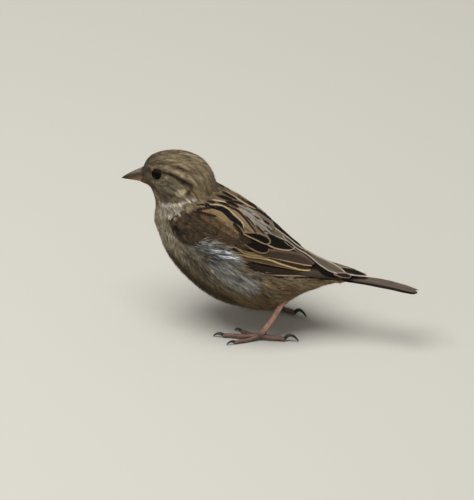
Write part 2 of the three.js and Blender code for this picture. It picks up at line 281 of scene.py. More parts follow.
# The skin lies inside the body by the depth of the coat.
skinPlan = {
    "nodes": ["head", "neck", "trunk", "left_thigh", "right_thigh", "left_wing", "right_wing"],
    "voxel": 0.8,        # mm
    "grow": 0.35,        # mm, closes the cuts between the nodes before they are fused
    "smoothing": 7,
    # How deep the coat is, mm, from the bill base to the tail root, and over the wings.
    "depth": [0.35, 0.45, 0.6, 0.85, 1.1, 1.4, 1.7, 1.9, 2.1, 2.2, 2.3, 2.3, 2.2, 2.0, 1.8, 1.4, 1.0, 0.6],
    "wingDepth": 1.3, "wingReach": 0.7,
    "eyeDepth": 0.75,    # mm, close round the eyes
    "eyeAt": (-49.9, 9.3, 73.6),
    "underWing": (52, 42, 33),
}

# The largest of the separate shells that a shape is made of.
def outerShell(shape):
    found, kept = set(), []
    for start in shape.verts:
        if start in found:
            continue
        shell, waiting = [], [start]
        found.add(start)
        while waiting:
            vertex = waiting.pop()
            shell.append(vertex)
            for edge in vertex.link_edges:
                other = edge.other_vert(vertex)
                if other not in found:
                    found.add(other)
                    waiting.append(other)
        if len(shell) > len(kept):
            kept = shell
    return set(kept)

def fuse(names, plan):
    shape = bmesh.new()
    for name in names:
        shape.from_mesh(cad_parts[name].data)
    bmesh.ops.remove_doubles(shape, verts=shape.verts, dist=1e-6)
    shape.normal_update()
    for vertex in shape.verts:
        vertex.co += vertex.normal * plan["grow"] * mm
    mesh = bpy.data.meshes.new("fused")
    shape.to_mesh(mesh)
    shape.free()
    holder = bpy.data.objects.new("fused", mesh)
    bpy.context.scene.collection.objects.link(holder)
    remesh = holder.modifiers.new("remesh", "REMESH")
    remesh.mode = "VOXEL"
    remesh.voxel_size = plan["voxel"] * mm
    fused = bpy.data.meshes.new_from_object(holder.evaluated_get(bpy.context.evaluated_depsgraph_get()))
    bpy.data.objects.remove(holder)
    shape = bmesh.new()
    shape.from_mesh(fused)
    kept = outerShell(shape)
    bmesh.ops.delete(shape, geom=[v for v in shape.verts if v not in kept], context="VERTS")
    for _ in range(plan["smoothing"]):
        bmesh.ops.smooth_vert(shape, verts=shape.verts, factor=0.5,
                              use_axis_x=True, use_axis_y=True, use_axis_z=True)
    shape.normal_update()
    shape.verts.ensure_lookup_table()
    points = fromFrame([v.co for v in shape.verts])
    normals = np.array([v.normal for v in shape.verts])
    bpy.data.meshes.remove(fused)
    return shape, points - normals * plan["grow"], normals

# Blends a value at each vertex with those of its neighbours.
def soften(shape, values, rounds, share=0.5):
    ends = np.array([[v.index for v in edge.verts] for edge in shape.edges])
    count = np.maximum(np.bincount(ends.ravel(), minlength=len(values)), 1)
    count = count.reshape([-1] + [1] * (values.ndim - 1))
    for _ in range(rounds):
        total = np.zeros_like(values)
        np.add.at(total, ends[:, 0], values[ends[:, 1]])
        np.add.at(total, ends[:, 1], values[ends[:, 0]])
        values = (1 - share) * values + share * total / count
    return values

def corners(faces):
    return [[v.index for v in face.verts] for face in faces]

def treeOf(points, faces):
    return BVHTree.FromPolygons([Vector(p) for p in points], faces)

def nodeTree(name):
    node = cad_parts[name].data
    return treeOf(fromFrame([v.co for v in node.vertices]), [list(p.vertices) for p in node.polygons])

fusedShape, fusedPoints, fusedNormals = fuse(skinPlan["nodes"] + ["left_eye", "right_eye"], skinPlan)
places = bodyPlaces(fusedPoints)[0]

# How deep the coat is at each point, and which points are on the wings.
def measureCoat(plan):
    wings = [nodeTree("left_wing"), nodeTree("right_wing")]
    near = [min(tree.find_nearest(Vector(p))[3] for tree in wings) for p in fusedPoints]
    wing = soften(fusedShape, np.array(np.array(near) < plan["wingReach"], float), 6)
    depth = alongBody(places, plan["depth"])
    depth = depth * (1 - wing) + np.minimum(depth, plan["wingDepth"]) * wing
    thigh = smooth(14, 9, fusedPoints[:, 2]) * smooth(-8, 0, fusedPoints[:, 0])
    depth = soften(fusedShape, depth * (1 - 0.5 * thigh), 8)
    fromEye = gapToEye(fusedPoints, plan["eyeAt"])
    return wing, np.minimum(depth, plan["eyeDepth"] + 0.2 * np.maximum(fromEye - 2, 0))

onWing, coatDepth = measureCoat(skinPlan)
skinPoints = fusedPoints - fusedNormals * coatDepth[:, None]
print("skin fused:", len(skinPoints), "points")

# Plain colours of the coat: place along the body, angle down from the top, colour. The belly's, 130 to 170
# degrees down from 9.5 to 12.5 along, are partly its own colour and partly painted shade of the underside.
coatZones = [
    (0.2, 20, (80, 65, 47)), (0.4, 150, (100, 82, 56)), (2, 15, (112, 98, 74)),
    (4, 15, (124, 112, 88)), (5.5, 15, (124, 110, 84)), (3.2, 80, (106, 94, 72)),
    (4.6, 100, (102, 92, 72)), (4, 165, (122, 110, 84)), (6, 100, (112, 98, 74)),
    (6.5, 165, (128, 116, 92)), (7, 30, (124, 110, 86)), (7.3, 120, (142, 134, 116)),
    (8.3, 150, (132, 122, 100)), (8.5, 100, (116, 106, 86)), (9.5, 165, (100, 86, 62)),
    (10, 110, (108, 100, 86)), (11, 130, (100, 88, 68)), (11, 170, (94, 79, 54)),
    (12.5, 150, (102, 84, 58)), (13.5, 170, (138, 116, 84)), (15, 165, (142, 118, 84)),
    (15.5, 15, (112, 100, 84)), (13, 15, (124, 114, 98)), (10, 15, (128, 108, 82)),
    (13.5, 80, (112, 98, 76)),
]

# Markings on the side chart, with some painted shade and painted highlights among them: the places a line
# passes with its half width at each, colour, strength.
coatMarks = {
    "crownBand": ([(150, 164, 1.6), (157, 162.6, 1.6), (168, 164, 1.7), (174, 166.6, 1.9),
        (183, 169.6, 2.0), (191, 173.2, 1.8), (199, 175.2, 1.2)], (70, 51, 35), 0.75),
    "foreheadEdge": ([(142, 168, 3.4), (146, 159, 3.4), (153, 153.5, 2.4)], (64, 50, 36), 0.7),
    "billBase": ([(140.5, 166, 2.8), (142.5, 170, 3), (143.5, 175, 2.4)], (66, 52, 38), 0.85),
    "lores": ([(144, 169, 3), (148, 170.2, 3.4), (152, 171.8, 2)], (54, 39, 26), 0.9),
    "browFront": ([(151, 167, 1.2), (158, 167.8, 1.6), (166, 168.6, 1.8)], (126, 108, 78), 0.7),
    "browRear": ([(167, 169.4, 1.5), (176, 172, 2.1), (183, 174.2, 2.3), (189, 178.3, 2.1),
        (195, 181.6, 1.7), (201, 180.8, 1.3), (207, 178.4, 0.9)], (138, 125, 103), 0.85),
    "eyeStripe": ([(161.5, 172.6, 1.3), (167.5, 173.9, 1.8), (174, 176.4, 2.0), (180, 180, 2.2),
        (187, 183.4, 2.4), (192.5, 187, 2.2), (192.3, 190.5, 1.8),
        (188.5, 195, 1.4)], (40, 30, 22), 0.95),
    "eyeRim": ([(151.6, 172.2, 1.1), (156, 169.2, 0.9), (160.5, 171.5, 1.0)], (48, 37, 28), 0.8),
    "eyeLine": ([(154.5, 183.8, 0.9), (159, 182.6, 1.0), (163.4, 179.8, 1.0),
        (168, 178.4, 0.8)], (160, 148, 126), 0.85),
    "underEye": ([(154, 179.6, 1.4), (158, 179.4, 1.2)], (82, 64, 48), 0.7),
    "gape": ([(143, 178, 2.2), (148, 181.6, 2.4), (150.5, 183, 1.4)], (116, 92, 60), 0.7),
    "malar": ([(150, 185, 1.6), (155, 188.6, 2.0), (158, 192, 1.6)], (88, 64, 46), 0.7),
    "earCoverts": ([(166, 186, 5), (171, 190, 6), (176, 189, 4)], (108, 99, 84), 0.6),
    "earDusk": ([(161, 196, 3), (168, 198.6, 3.4), (174, 197, 2.4)], (70, 61, 48), 0.75),
    "earSpot": ([(177.5, 193.6, 1.8), (181, 195.6, 2.8), (185.5, 191.8, 2.2)], (176, 166, 138), 0.85),
    "neckSide": ([(196, 191, 5), (204, 195, 6), (212, 198, 4)], (98, 84, 60), 0.55),
    "napeStreaks": ([(178, 156, 2), (192, 163, 2), (203, 174, 2)], (92, 77, 58), 0.4),
    "collar": ([(158, 206.4, 1.5), (166, 207.2, 1.9), (174, 206.8, 1.8), (181, 205.6, 1.6),
        (188, 202.8, 1.4), (197, 200.6, 0.9)], (204, 197, 182), 0.88),
    # Painted shadow under the pale collar.
    "collarShadow": ([(162, 209.6, 1.0), (176, 210.3, 1.2), (190, 206.4, 1.1)], (92, 82, 68), 0.5),
    "throatPale": ([(153, 196, 5), (156, 203, 6), (158, 212, 5.5)], (162, 146, 120), 0.8),
    "breastPatch": ([(160, 214, 7), (168, 215, 7.5), (180, 213.5, 5)], (158, 150, 134), 0.8),
    "bendPale": ([(174, 236, 2.2), (181, 235, 2.4), (186, 240, 2.2)], (142, 136, 118), 0.6),
    "bendShadow": ([(170, 223.5, 2.6), (174.5, 228, 3.4), (178, 231, 2.2)], (38, 29, 21), 0.85),
    # Painted shade along the underside of the belly.
    "bellyShade": ([(166, 256, 6), (180, 272, 8), (198, 287, 8), (216, 298, 7),
        (234, 304, 5.5)], (62, 50, 32), 0.85),
    "flankOlive": ([(184, 246, 5), (192, 250, 5), (200, 262, 4)], (124, 120, 106), 0.7),
    "flankPale": ([(196, 243.5, 4.5), (208, 246, 8), (222, 252, 10), (234, 258, 10),
        (241, 262, 7)], (120, 122, 121), 0.9),
    "flankLow": ([(212, 263, 5), (222, 270, 9), (237, 280, 11), (254, 289, 9)], (128, 127, 122), 0.9),
    "flankDusk": ([(189, 257, 4), (197, 267, 6), (207, 276, 4.5)], (54, 46, 33), 0.55),
    # Painted highlights on the flank wisps.
    "flankGlint": ([(212, 245.5, 1.4), (222, 245, 1.2)], (190, 194, 197), 0.5),
    "flankHighlight": ([(213, 251.4, 1.3), (224, 251.6, 1.5), (233, 253, 1.2)], (214, 218, 221), 0.7),
    "flankLowHighlight": ([(222, 256, 1.6), (232, 257.4, 2.2), (238, 258, 1.4)], (218, 222, 225), 0.85),
    # Painted shade in the gaps and hollows between the flank wisps.
    "flankShadeLine": ([(216, 247, 0.9), (224, 248.4, 1.3), (233, 250.2, 0.8)], (44, 44, 47), 0.85),
    "flankGapShade": ([(210, 259.2, 0.8), (217, 260, 1.1), (226, 261, 0.7)], (34, 34, 36), 0.9),
    "flankHollowShade": ([(206, 262, 1.6), (211, 264.6, 2.4), (217, 266, 2.2),
        (222, 269, 1.2)], (52, 53, 54), 0.8),
    "flankRear": ([(250, 277, 2), (258, 280, 2.6), (268, 279, 1.6)], (70, 70, 74), 0.6),
    "thighEdge": ([(262, 292, 1.8), (267, 298, 2.2), (270, 303, 1.8)], (62, 50, 34), 0.6),
    "ventBrown": ([(272, 284, 4), (284, 289, 5), (296, 287, 4)], (104, 83, 58), 0.6),
    "tailUnder": ([(304, 288, 3), (316, 284.5, 3), (330, 281, 2.2)], (148, 134, 106), 0.6),
    "rumpPale": ([(254, 219, 4), (262, 222, 4.5), (270, 228, 3)], (178, 170, 156), 0.6),
}

# How far each place is from a line, in half widths of the line.
def nearLine(chart, line):
    best = np.full(len(chart), 1e9)
    for first, second in zip(line[:-1], line[1:]):
        start, end = np.array(first[:2], float), np.array(second[:2], float)
        along = np.clip((chart - start) @ (end - start) / ((end - start) @ (end - start)), 0, 1)
        gone = np.linalg.norm(chart - start - along[:, None] * (end - start), axis=1)
        best = np.minimum(best, gone / (first[2] + (second[2] - first[2]) * along))
    return best

# Fine light and dark streaks that follow the lie of the coat.
def streaks(spots, turned):
    along = spots * 5.4
    around = np.radians(turned) * alongBody(spots, bodySections[:, 4])
    return np.array([noise.noise((a * 0.24, r * 0.85, 0.0)) + 0.7 * noise.noise((a * 0.55, r * 2.1, 9.0))
                     for a, r in zip(along, around)])

# The coat's colour where a feather with this root shows, as linear red, green and blue.
def coatColour(points, normals, spread=0.0, seed=3):
    chance = np.random.default_rng(seed)
    spots, turned = bodyPlaces(points)[:2]
    total = np.zeros((len(points), 3))
    weight = np.zeros(len(points))
    for spot, angle, colour in coatZones:
        near = np.exp(-((spots - spot) / 1.1) ** 2 - ((turned - angle) / 34) ** 2) + 1e-9
        total += near[:, None] * paint(*colour)
        weight += near
    colour = total / weight[:, None]
    chart = chartOf(points)
    chart = chart + chance.normal(0, 1, chart.shape) * spread
    facing = smooth(-0.05, 0.2, nearFacing(points, normals))
    for line, shade, strength in coatMarks.values():
        colour = blend(colour, paint(*shade), smooth(1.25, 0.45, nearLine(chart, line)) * strength * facing)
    return colour * np.clip(1 + 0.85 * streaks(spots, turned), 0.4, 1.8)[:, None]

def addColours(mesh, name, colours):
    layer = mesh.attributes.new(name, "FLOAT_COLOR", "POINT")
    solid = np.hstack([colours, np.ones((len(colours), 1))])
    layer.data.foreach_set("color", solid.astype(np.float32).ravel())

def startMesh(name, points, loops, starts):
    mesh = bpy.data.meshes.new(name)
    mesh.vertices.add(len(points))
    mesh.vertices.foreach_set("co", toFrame(points).astype(np.float32).ravel())
    mesh.loops.add(len(loops))
    mesh.loops.foreach_set("vertex_index", loops.astype(np.int32))
    mesh.polygons.add(len(starts))
    mesh.polygons.foreach_set("loop_start", starts.astype(np.int32))
    return mesh

def place(mesh, name, material):
    piece = bpy.data.objects.new(name, mesh)
    bpy.context.scene.collection.objects.link(piece)
    mesh.materials.append(material)
    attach(piece, "root")
    return piece

def placeSmooth(mesh, name, material):
    mesh.update(calc_edges=True)
    mesh.validate()
    mesh.polygons.foreach_set("use_smooth", np.ones(len(mesh.polygons), bool))
    return place(mesh, name, material)

def coatMaterial(name, darkness, roughness, sheen, grain, bump):
    make = MaterialMaker(name)
    speckle = make.noise(make.where(), grain, 4)
    shade = make.mapped(speckle, (0.3, 0.7), (darkness * 0.82, darkness * 1.16))
    return make.surface({
        "Base Color": make.scaled(make.attribute("coatColour"), shade), "Roughness": roughness,
        "Specular IOR Level": 0.06, "Sheen Weight": sheen, "Sheen Roughness": 0.6,
    }, speckle, bump, 0.0002)

def makeSkin(plan):
    mesh = bpy.data.meshes.new("skin")
    for vertex, point in zip(fusedShape.verts, toFrame(skinPoints)):
        vertex.co = point
    for face in fusedShape.faces:
        face.smooth = True
    fusedShape.to_mesh(mesh)
    under = coatColour(fusedPoints, fusedNormals)
    addColours(mesh, "coatColour", blend(under, paint(*plan["underWing"]), onWing))
    skin = place(mesh, "skin", coatMaterial("downySkin", 0.62, 0.9, 0.2, 1800, 0.5))
    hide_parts(*plan["nodes"])
    bpy.context.view_layer.objects.active = skin
    skin.select_set(True)
    bpy.ops.object.mode_set(mode="EDIT")
    bpy.ops.mesh.select_all(action="SELECT")
    bpy.ops.uv.smart_project(angle_limit=math.radians(66), island_margin=0.004)
    bpy.ops.object.mode_set(mode="OBJECT")
    skin.select_set(False)
    mesh.uv_layers[0].name = "OFBake"
    return skin

skin = makeSkin(skinPlan)
skinFaces = corners(fusedShape.faces)
skinTree = treeOf(skinPoints, skinFaces)
skinUv = np.empty(len(skin.data.loops) * 2)
skin.data.uv_layers["OFBake"].data.foreach_get("uv", skinUv)
skinUv = skinUv.reshape(-1, 2)
print("skin placed")

# The coat of small feathers.
coatPlan = {
    # From the bill base to the tail root: feather length, mm, and how far apart the roots are, mm.
    "length": [0.9, 1.2, 1.6, 2.3, 2.6, 3.0, 3.6, 4.2, 4.8, 5.2, 5.6, 6.0, 6.2, 6.0, 6.0, 5.5, 4.6, 3.5],
    "spacing": [0.3, 0.32, 0.36, 0.4, 0.44, 0.47, 0.5, 0.54, 0.58, 0.62, 0.66, 0.66, 0.66, 0.64, 0.6, 0.56,
                0.52, 0.5],
    "widthShare": 0.42,
    "barbs": 9,
    "eyeAt": (-50.2, 9.3, 73.2), "eyeClear": 1.75,
    "tone": 0.12,        # how much one feather differs from the next
    "patch": 0.003,      # size of a feather's place in the bake layout
    # Where the long feathers of the folded wing lie on the side chart, bare of small ones.
    "wingArea": [(228, 226), (230, 190), (262, 196), (300, 226), (330, 250), (354, 266), (354, 279),
                 (300, 279), (266, 275), (252, 266), (246, 254), (230, 243)],
}

# Which places lie inside a shape drawn on the side chart.
def insideChart(chart, outline):
    inside = np.zeros(len(chart), bool)
    for k, (x0, y0) in enumerate(outline):
        x1, y1 = outline[k - 1]
        crosses = (y0 > chart[:, 1]) != (y1 > chart[:, 1])
        with np.errstate(divide="ignore", invalid="ignore"):
            inside ^= crosses & (chart[:, 0] < (x1 - x0) * (chart[:, 1] - y0) / (y1 - y0) + x0)
    return inside

# Scatters feather roots over the skin where they are allowed, no two closer than the spacing.
def chooseRoots(plan, allowed, seed):
    chance = np.random.default_rng(seed)
    firstHalves = [f[:3] for f in skinFaces]
    otherHalves = [(f[0], *f[2:4]) if len(f) > 3 else (f[0],) * 3 for f in skinFaces]
    faces = np.array(firstHalves + otherHalves)
    owners = np.tile(np.arange(len(skinFaces)), 2)
    a, b, c = (skinPoints[faces[:, k]] for k in range(3))
    area = np.linalg.norm(np.cross(b - a, c - a), axis=1) / 2
    spacing = alongBody(places[faces[:, 0]], plan["spacing"])
    share = area / spacing ** 2
    count = int(share.sum() * 3.2)
    chosen = chance.choice(len(faces), count, p=share / share.sum())
    u, v = chance.random(count), chance.random(count)
    flip = u + v > 1
    u[flip], v[flip] = 1 - u[flip], 1 - v[flip]
    points = a[chosen] + (b[chosen] - a[chosen]) * u[:, None] + (c[chosen] - a[chosen]) * v[:, None]
    weights = 1 - u - v, u, v
    normals = unit(sum(w[:, None] * fusedNormals[faces[chosen, k]] for k, w in enumerate(weights)))
    depth = sum(w * coatDepth[faces[chosen, k]] for k, w in enumerate(weights))
    covered = sum(w * onWing[faces[chosen, k]] for k, w in enumerate(weights))
    keep = allowed(points, normals, covered)
    scattered = points, normals, depth, spacing[chosen], chosen
    points, normals, depth, spacing, chosen = (values[keep] for values in scattered)
    tree = KDTree(len(points))
    for k, point in enumerate(points):
        tree.insert(point, k)
    tree.balance()
    free = np.ones(len(points), bool)
    for k in range(len(points)):
        if free[k]:
            for _, other, _ in tree.find_range(points[k], spacing[k]):
                if other > k:
                    free[other] = False
    return points[free], normals[free], depth[free], owners[chosen[free]]

# Roots in a patch drawn on the chart, on both sides of the bird.
def patchRoots(plan, seed):
    def allowed(points, normals, covered):
        return insideChart(chartOf(points), plan["patchCorners"]) & (nearFacing(points, normals) > 0.1)
    return chooseRoots(plan, allowed, seed)

# Lays each feather along the skin: three places on its shaft, with the skin's normal at each.
def layShafts(roots, normals, ways, lengths, tops, lifts):
    shaft, ups = [roots - normals * 0.25], [normals]
    for share, lift in ((0.5, lifts[0]), (1.0, lifts[1])):
        targets = roots + ways * (lengths * share)[:, None]
        found = [skinTree.find_nearest(Vector(t)) for t in targets]
        near = np.array([f[0] for f in found])
        up = unit(np.array([f[1] for f in found]) + normals)
        shaft.append(near + up * (tops * lift)[:, None])
        ups.append(up)
    return shaft, ups

# One piece of small feathers, each a tuft of thin blades side by side.
def makeTufts(name, roots, normals, owners, ways, lengths, widths, tops, colours, plan, seed,
              lifts=(0.5, 1.0), ragged=0.12, shafts=None):
    chance = np.random.default_rng(seed)
    count, barbs = len(roots), plan["barbs"]
    shaft, ups = shafts or layShafts(roots, normals, ways, lengths, tops, lifts)
    rootAt, middleAt, tipAt = (spot[:, None] for spot in shaft)
    def along(t):
        t = t[..., None]
        return rootAt * (1 - t) * (1 - 2 * t) + middleAt * 4 * t * (1 - t) + tipAt * t * (2 * t - 1)
    up = unit(ups[1] + ups[2])[:, None]
    side = unit(np.cross(ups[1], unit(shaft[2] - shaft[1])))[:, None]
    spread = np.linspace(-1, 1, barbs)[None] + chance.normal(0, 0.09, (count, barbs))
    jitter = lambda size: chance.normal(0, size, (count, barbs))
    half = (widths / 2)[:, None]
    start = along(np.clip(0.06 + 0.2 * np.abs(spread) + jitter(0.04), 0, 0.4))
    start = start + side * (spread * half * 0.25)[..., None]
    middle = along(np.clip(0.52 + jitter(0.06), 0.3, 0.8)) + side * (spread * half * 0.8)[..., None]
    middle = middle - up * (0.22 * half * spread ** 2 + jitter(0.02) * half)[..., None]
    reach = 1 - 0.22 * spread ** 2 + jitter(ragged)
    tip = along(np.clip(reach, 0.6, 1.3)) + side * ((spread + jitter(0.12)) * half)[..., None]
    tip = tip - up * (0.35 * half * spread ** 2 + np.minimum(jitter(0.1), 0.12) * half)[..., None]
    roll = jitter(0.3)[..., None]
    flat = unit(side * np.cos(roll) + up * np.sin(roll))
    wide = (widths[:, None] / barbs * (0.95 + 0.25 * chance.random((count, barbs))))[..., None]
    rows = [start - flat * wide * 0.35, start + flat * wide * 0.35,
            middle - flat * wide * 0.62, middle + flat * wide * 0.62, tip]
    points = np.stack(rows, 2).reshape(-1, 3)
    blades = count * barbs
    first = np.arange(blades) * 5
    loops = np.stack([first + k for k in (0, 1, 3, 2, 2, 3, 4)], 1).ravel()
    starts = (np.arange(blades)[:, None] * 7 + np.array([0, 4])).ravel()
    mesh = startMesh(name, points, loops, starts)
    tone = 1 + chance.normal(0, plan["tone"], (count, 1))
    tone = tone + chance.normal(0, plan["tone"] * 0.8, (count, barbs))
    # Each blade darkens towards its root: partly the grey down at a feather's base, partly painted shade
    # where the feathers above lie over it.
    shade = np.array([0.72, 0.72, 0.96, 0.96, 1.08])
    bladeColours = colours(points.reshape(blades, 5, 3)[:, 4], np.repeat(normals, barbs, 0))
    painted = bladeColours[:, None] * tone.reshape(-1, 1, 1) * shade[None, :, None]
    addColours(mesh, "coatColour", np.clip(painted.reshape(-1, 3), 0.003, 0.9))
    patch = mesh.uv_layers.new(name="OFBake")
    rootUv = np.array([skinUv[skin.data.polygons[int(o)].loop_start] for o in owners])
    across = ((np.arange(barbs) + 0.5) / barbs)[:, None] + np.array([-0.3, 0.3, -0.45, 0.45, 0.0]) / barbs
    down = np.broadcast_to(np.array([0.0, 0.0, 0.5, 0.5, 1.0]), (barbs, 5))
    local = np.stack([across, down], -1) - 0.5
    vertexUv = (rootUv[:, None, None] + local[None] * plan["patch"]).reshape(-1, 2)
    patch.data.foreach_set("uv", vertexUv[loops].astype(np.float32).ravel())
    return placeSmooth(mesh, name, coatFeather)

# Turns directions until they lie along the surface.
def laid(ways, normals):
    return unit(ways - normals * np.sum(ways * normals, 1, keepdims=True))

coatFeather = coatMaterial("softFeather", 1.04, 0.85, 0.04, 2600, 0.3)

def growCoat(plan):
    def allowed(points, normals, covered):
        clear = gapToEye(points, plan["eyeAt"]) > plan["eyeClear"]
        return clear & (covered < 0.45) & ~insideChart(chartOf(points), plan["wingArea"])
    roots, normals, depth, owners = chooseRoots(plan, allowed, 11)
    spots, turned, lie = bodyPlaces(roots)
    lengths = alongBody(spots, plan["length"])
    fromEye = gapToEye(roots, plan["eyeAt"])
    lengths = np.minimum(lengths, 0.7 + 0.5 * np.maximum(fromEye - plan["eyeClear"], 0))
    chance = np.random.default_rng(5)
    lengths = lengths * (1 + chance.normal(0, 0.1, len(roots)))
    ways = laid(lie, normals)
    ways = unit(ways + np.cross(normals, ways) * chance.normal(0, 0.13, len(roots))[:, None])
    body, low = spots >= 8.2, turned > 100
    parts = {
        "headCoat": spots < 5.6, "neckCoat": (spots >= 5.6) & ~body,
        "breastCoat": body & low & (spots < 11), "bellyCoat": (spots >= 11) & low, "backCoat": body & ~low,
    }
    for k, (name, chosen) in enumerate(parts.items()):
        makeTufts(name, roots[chosen], normals[chosen], owners[chosen], ways[chosen], lengths[chosen],
                  lengths[chosen] * plan["widthShare"], depth[chosen], lambda p, n: coatColour(p, n, 0.5),
                  plan, 20 + k)
        print(name, chosen.sum(), "feathers")

growCoat(coatPlan)
print("coat grown")

# The way a feather lies when the chart gives it: right and down, on either side of the bird.
def chartWays(points, normals, slopes):
    ways = chartRight * 1.0 - chartUp * np.asarray(slopes)[:, None]
    ways[:, 1] *= np.where(points[:, 1] > 0, -1, 1)
    return laid(ways, normals)

# Soft coverts over the bend of the wing.
covertPlan = dict(coatPlan, **{
    "barbs": 11, "tone": 0.13, "spacing": [0.62] * 18, "feather": 4.6, "wide": 0.5, "lift": 0.15,
    "patchCorners": [(167, 218), (176, 210), (190, 208.5), (204, 211), (220, 222), (232, 232), (240, 240),
                     (236, 246), (224, 242), (208, 240), (190, 239), (179, 236), (171, 228)],
    "dusky": (42, 33, 25), "warm": (84, 69, 52), "edge": (98, 83, 64),
    "shadow": (40, 30, 22), "shadowLine": [(168, 222, 3), (175, 229, 4), (182, 236, 3)],
})

def growCoverts(plan):
    roots, normals, depth, owners = patchRoots(plan, 51)
    chance = np.random.default_rng(52)
    across, down = chartOf(roots).T
    slopes = 0.5 - 0.25 * smooth(200, 226, across) + chance.normal(0, 0.16, len(roots))
    ways = chartWays(roots, normals, slopes)
    lengths = plan["feather"] * (1 + chance.normal(0, 0.12, len(roots)))
    cell = np.sin(across * 0.62 + 1.3 * np.sin(down * 0.5))
    cell = cell * np.sin(down * 0.78 + 0.9 * np.sin(across * 0.35))
    patchy = np.clip(0.45 + 0.45 * cell + chance.normal(0, 0.16, len(roots)), 0, 1)
    barbs = plan["barbs"]
    def colours(tips, tipNormals):
        rim = np.tile(np.abs(np.linspace(-1, 1, barbs)) > 0.7, len(roots)) * 0.4
        colour = blend(paint(*plan["dusky"]), paint(*plan["warm"]), np.repeat(patchy, barbs))
        dark = smooth(1.3, 0.4, nearLine(chartOf(tips), plan["shadowLine"])) * 0.75
        return blend(blend(colour, paint(*plan["edge"]), rim), paint(*plan["shadow"]), dark)
    makeTufts("covertCoat", roots, normals, owners, ways, lengths, lengths * plan["wide"],
              depth + plan["lift"], colours, plan, 53, (0.55, 1.0))
    print("coverts", len(roots), "feathers")

growCoverts(covertPlan)

# Loose flank feathers lap over the wing's lower edge.
flankPlan = dict(coatPlan, **{
    "barbs": 9, "tone": 0.36, "spacing": [0.72] * 18, "feather": 6.2, "wide": 0.26, "lift": 0.5,
    "patchCorners": [(185, 243), (196, 239.5), (207, 240.5), (215, 246), (225, 252), (235, 259), (242, 266),
                     (256, 278), (260, 287), (246, 290), (230, 284), (214, 275), (201, 266), (191, 256)],
})

def growFlank(plan):
    roots, normals, depth, owners = patchRoots(plan, 61)
    chance = np.random.default_rng(62)
    chart = chartOf(roots)
    swirl = np.array([noise.noise((x * 0.12, y * 0.12, 3.0)) for x, y in chart])
    slopes = (-0.1 + 0.5 * smooth(246, 262, chart[:, 1]) + 0.5 * smooth(262, 286, chart[:, 1])
              + 0.7 * swirl + chance.normal(0, 0.14, len(roots)))
    ways = chartWays(roots, normals, slopes)
    lengths = plan["feather"] * (1 + chance.normal(0, 0.16, len(roots)))
    makeTufts("flankCoat", roots, normals, owners, ways, lengths, lengths * plan["wide"],
              depth + plan["lift"], lambda p, n: coatColour(p, n, 0.6), plan, 63,
              (0.55, 1.0), 0.2)
    print("flank", len(roots), "feathers")

growFlank(flankPlan)

# Short bristly feathers close round the base of the bill.
fringePlan = dict(coatPlan, **{
    "barbs": 7, "tone": 0.14, "count": 320, "feather": 1.9, "wide": 0.42,
    "baseX": -57.7, "mouthZ": 66.9, "high": 4.75, "low": 2.5, "halfWidth": 3.35,
})

def growFringe(plan):
    count, wide = plan["count"], plan["halfWidth"]
    chance = np.random.default_rng(71)
    turns = np.linspace(0, 2 * math.pi, count, endpoint=False) + chance.normal(0, 0.03, count)
    across, lift = np.cos(turns), np.sin(turns)
    back = chance.uniform(0, 1.6, count)
    tall = np.where(lift > 0, plan["high"], plan["low"])
    ring = np.stack([plan["baseX"] + 0.25 * lift, wide * across, plan["mouthZ"] + tall * lift], 1)
    normals = unit(np.stack([np.full(count, -0.35), across / wide, lift / tall], 1) * [1, 3, 3])
    ways = unit(np.stack([-np.ones(count), -0.35 * across, -0.3 * lift], 1))
    lengths = plan["feather"] * (1 + chance.normal(0, 0.15, count)) * (0.75 + 0.35 * np.maximum(lift, 0))
    roots = ring - ways * back[:, None] + normals * 0.15
    ups = unit(normals)
    shaft = [roots - normals * 0.5, roots + ways * (lengths * 0.5)[:, None] + ups * 0.12,
             roots + ways * lengths[:, None] + ups * 0.02]
    owners = [skinTree.find_nearest(Vector(p))[2] for p in roots]
    makeTufts("billFringe", roots, normals, owners, ways, lengths, lengths * plan["wide"], None,
              lambda p, n: coatColour(p, n, 0.3), plan, 72, shafts=(shaft, [ups] * 3))
    print("bill fringe", count, "feathers")

growFringe(fringePlan)

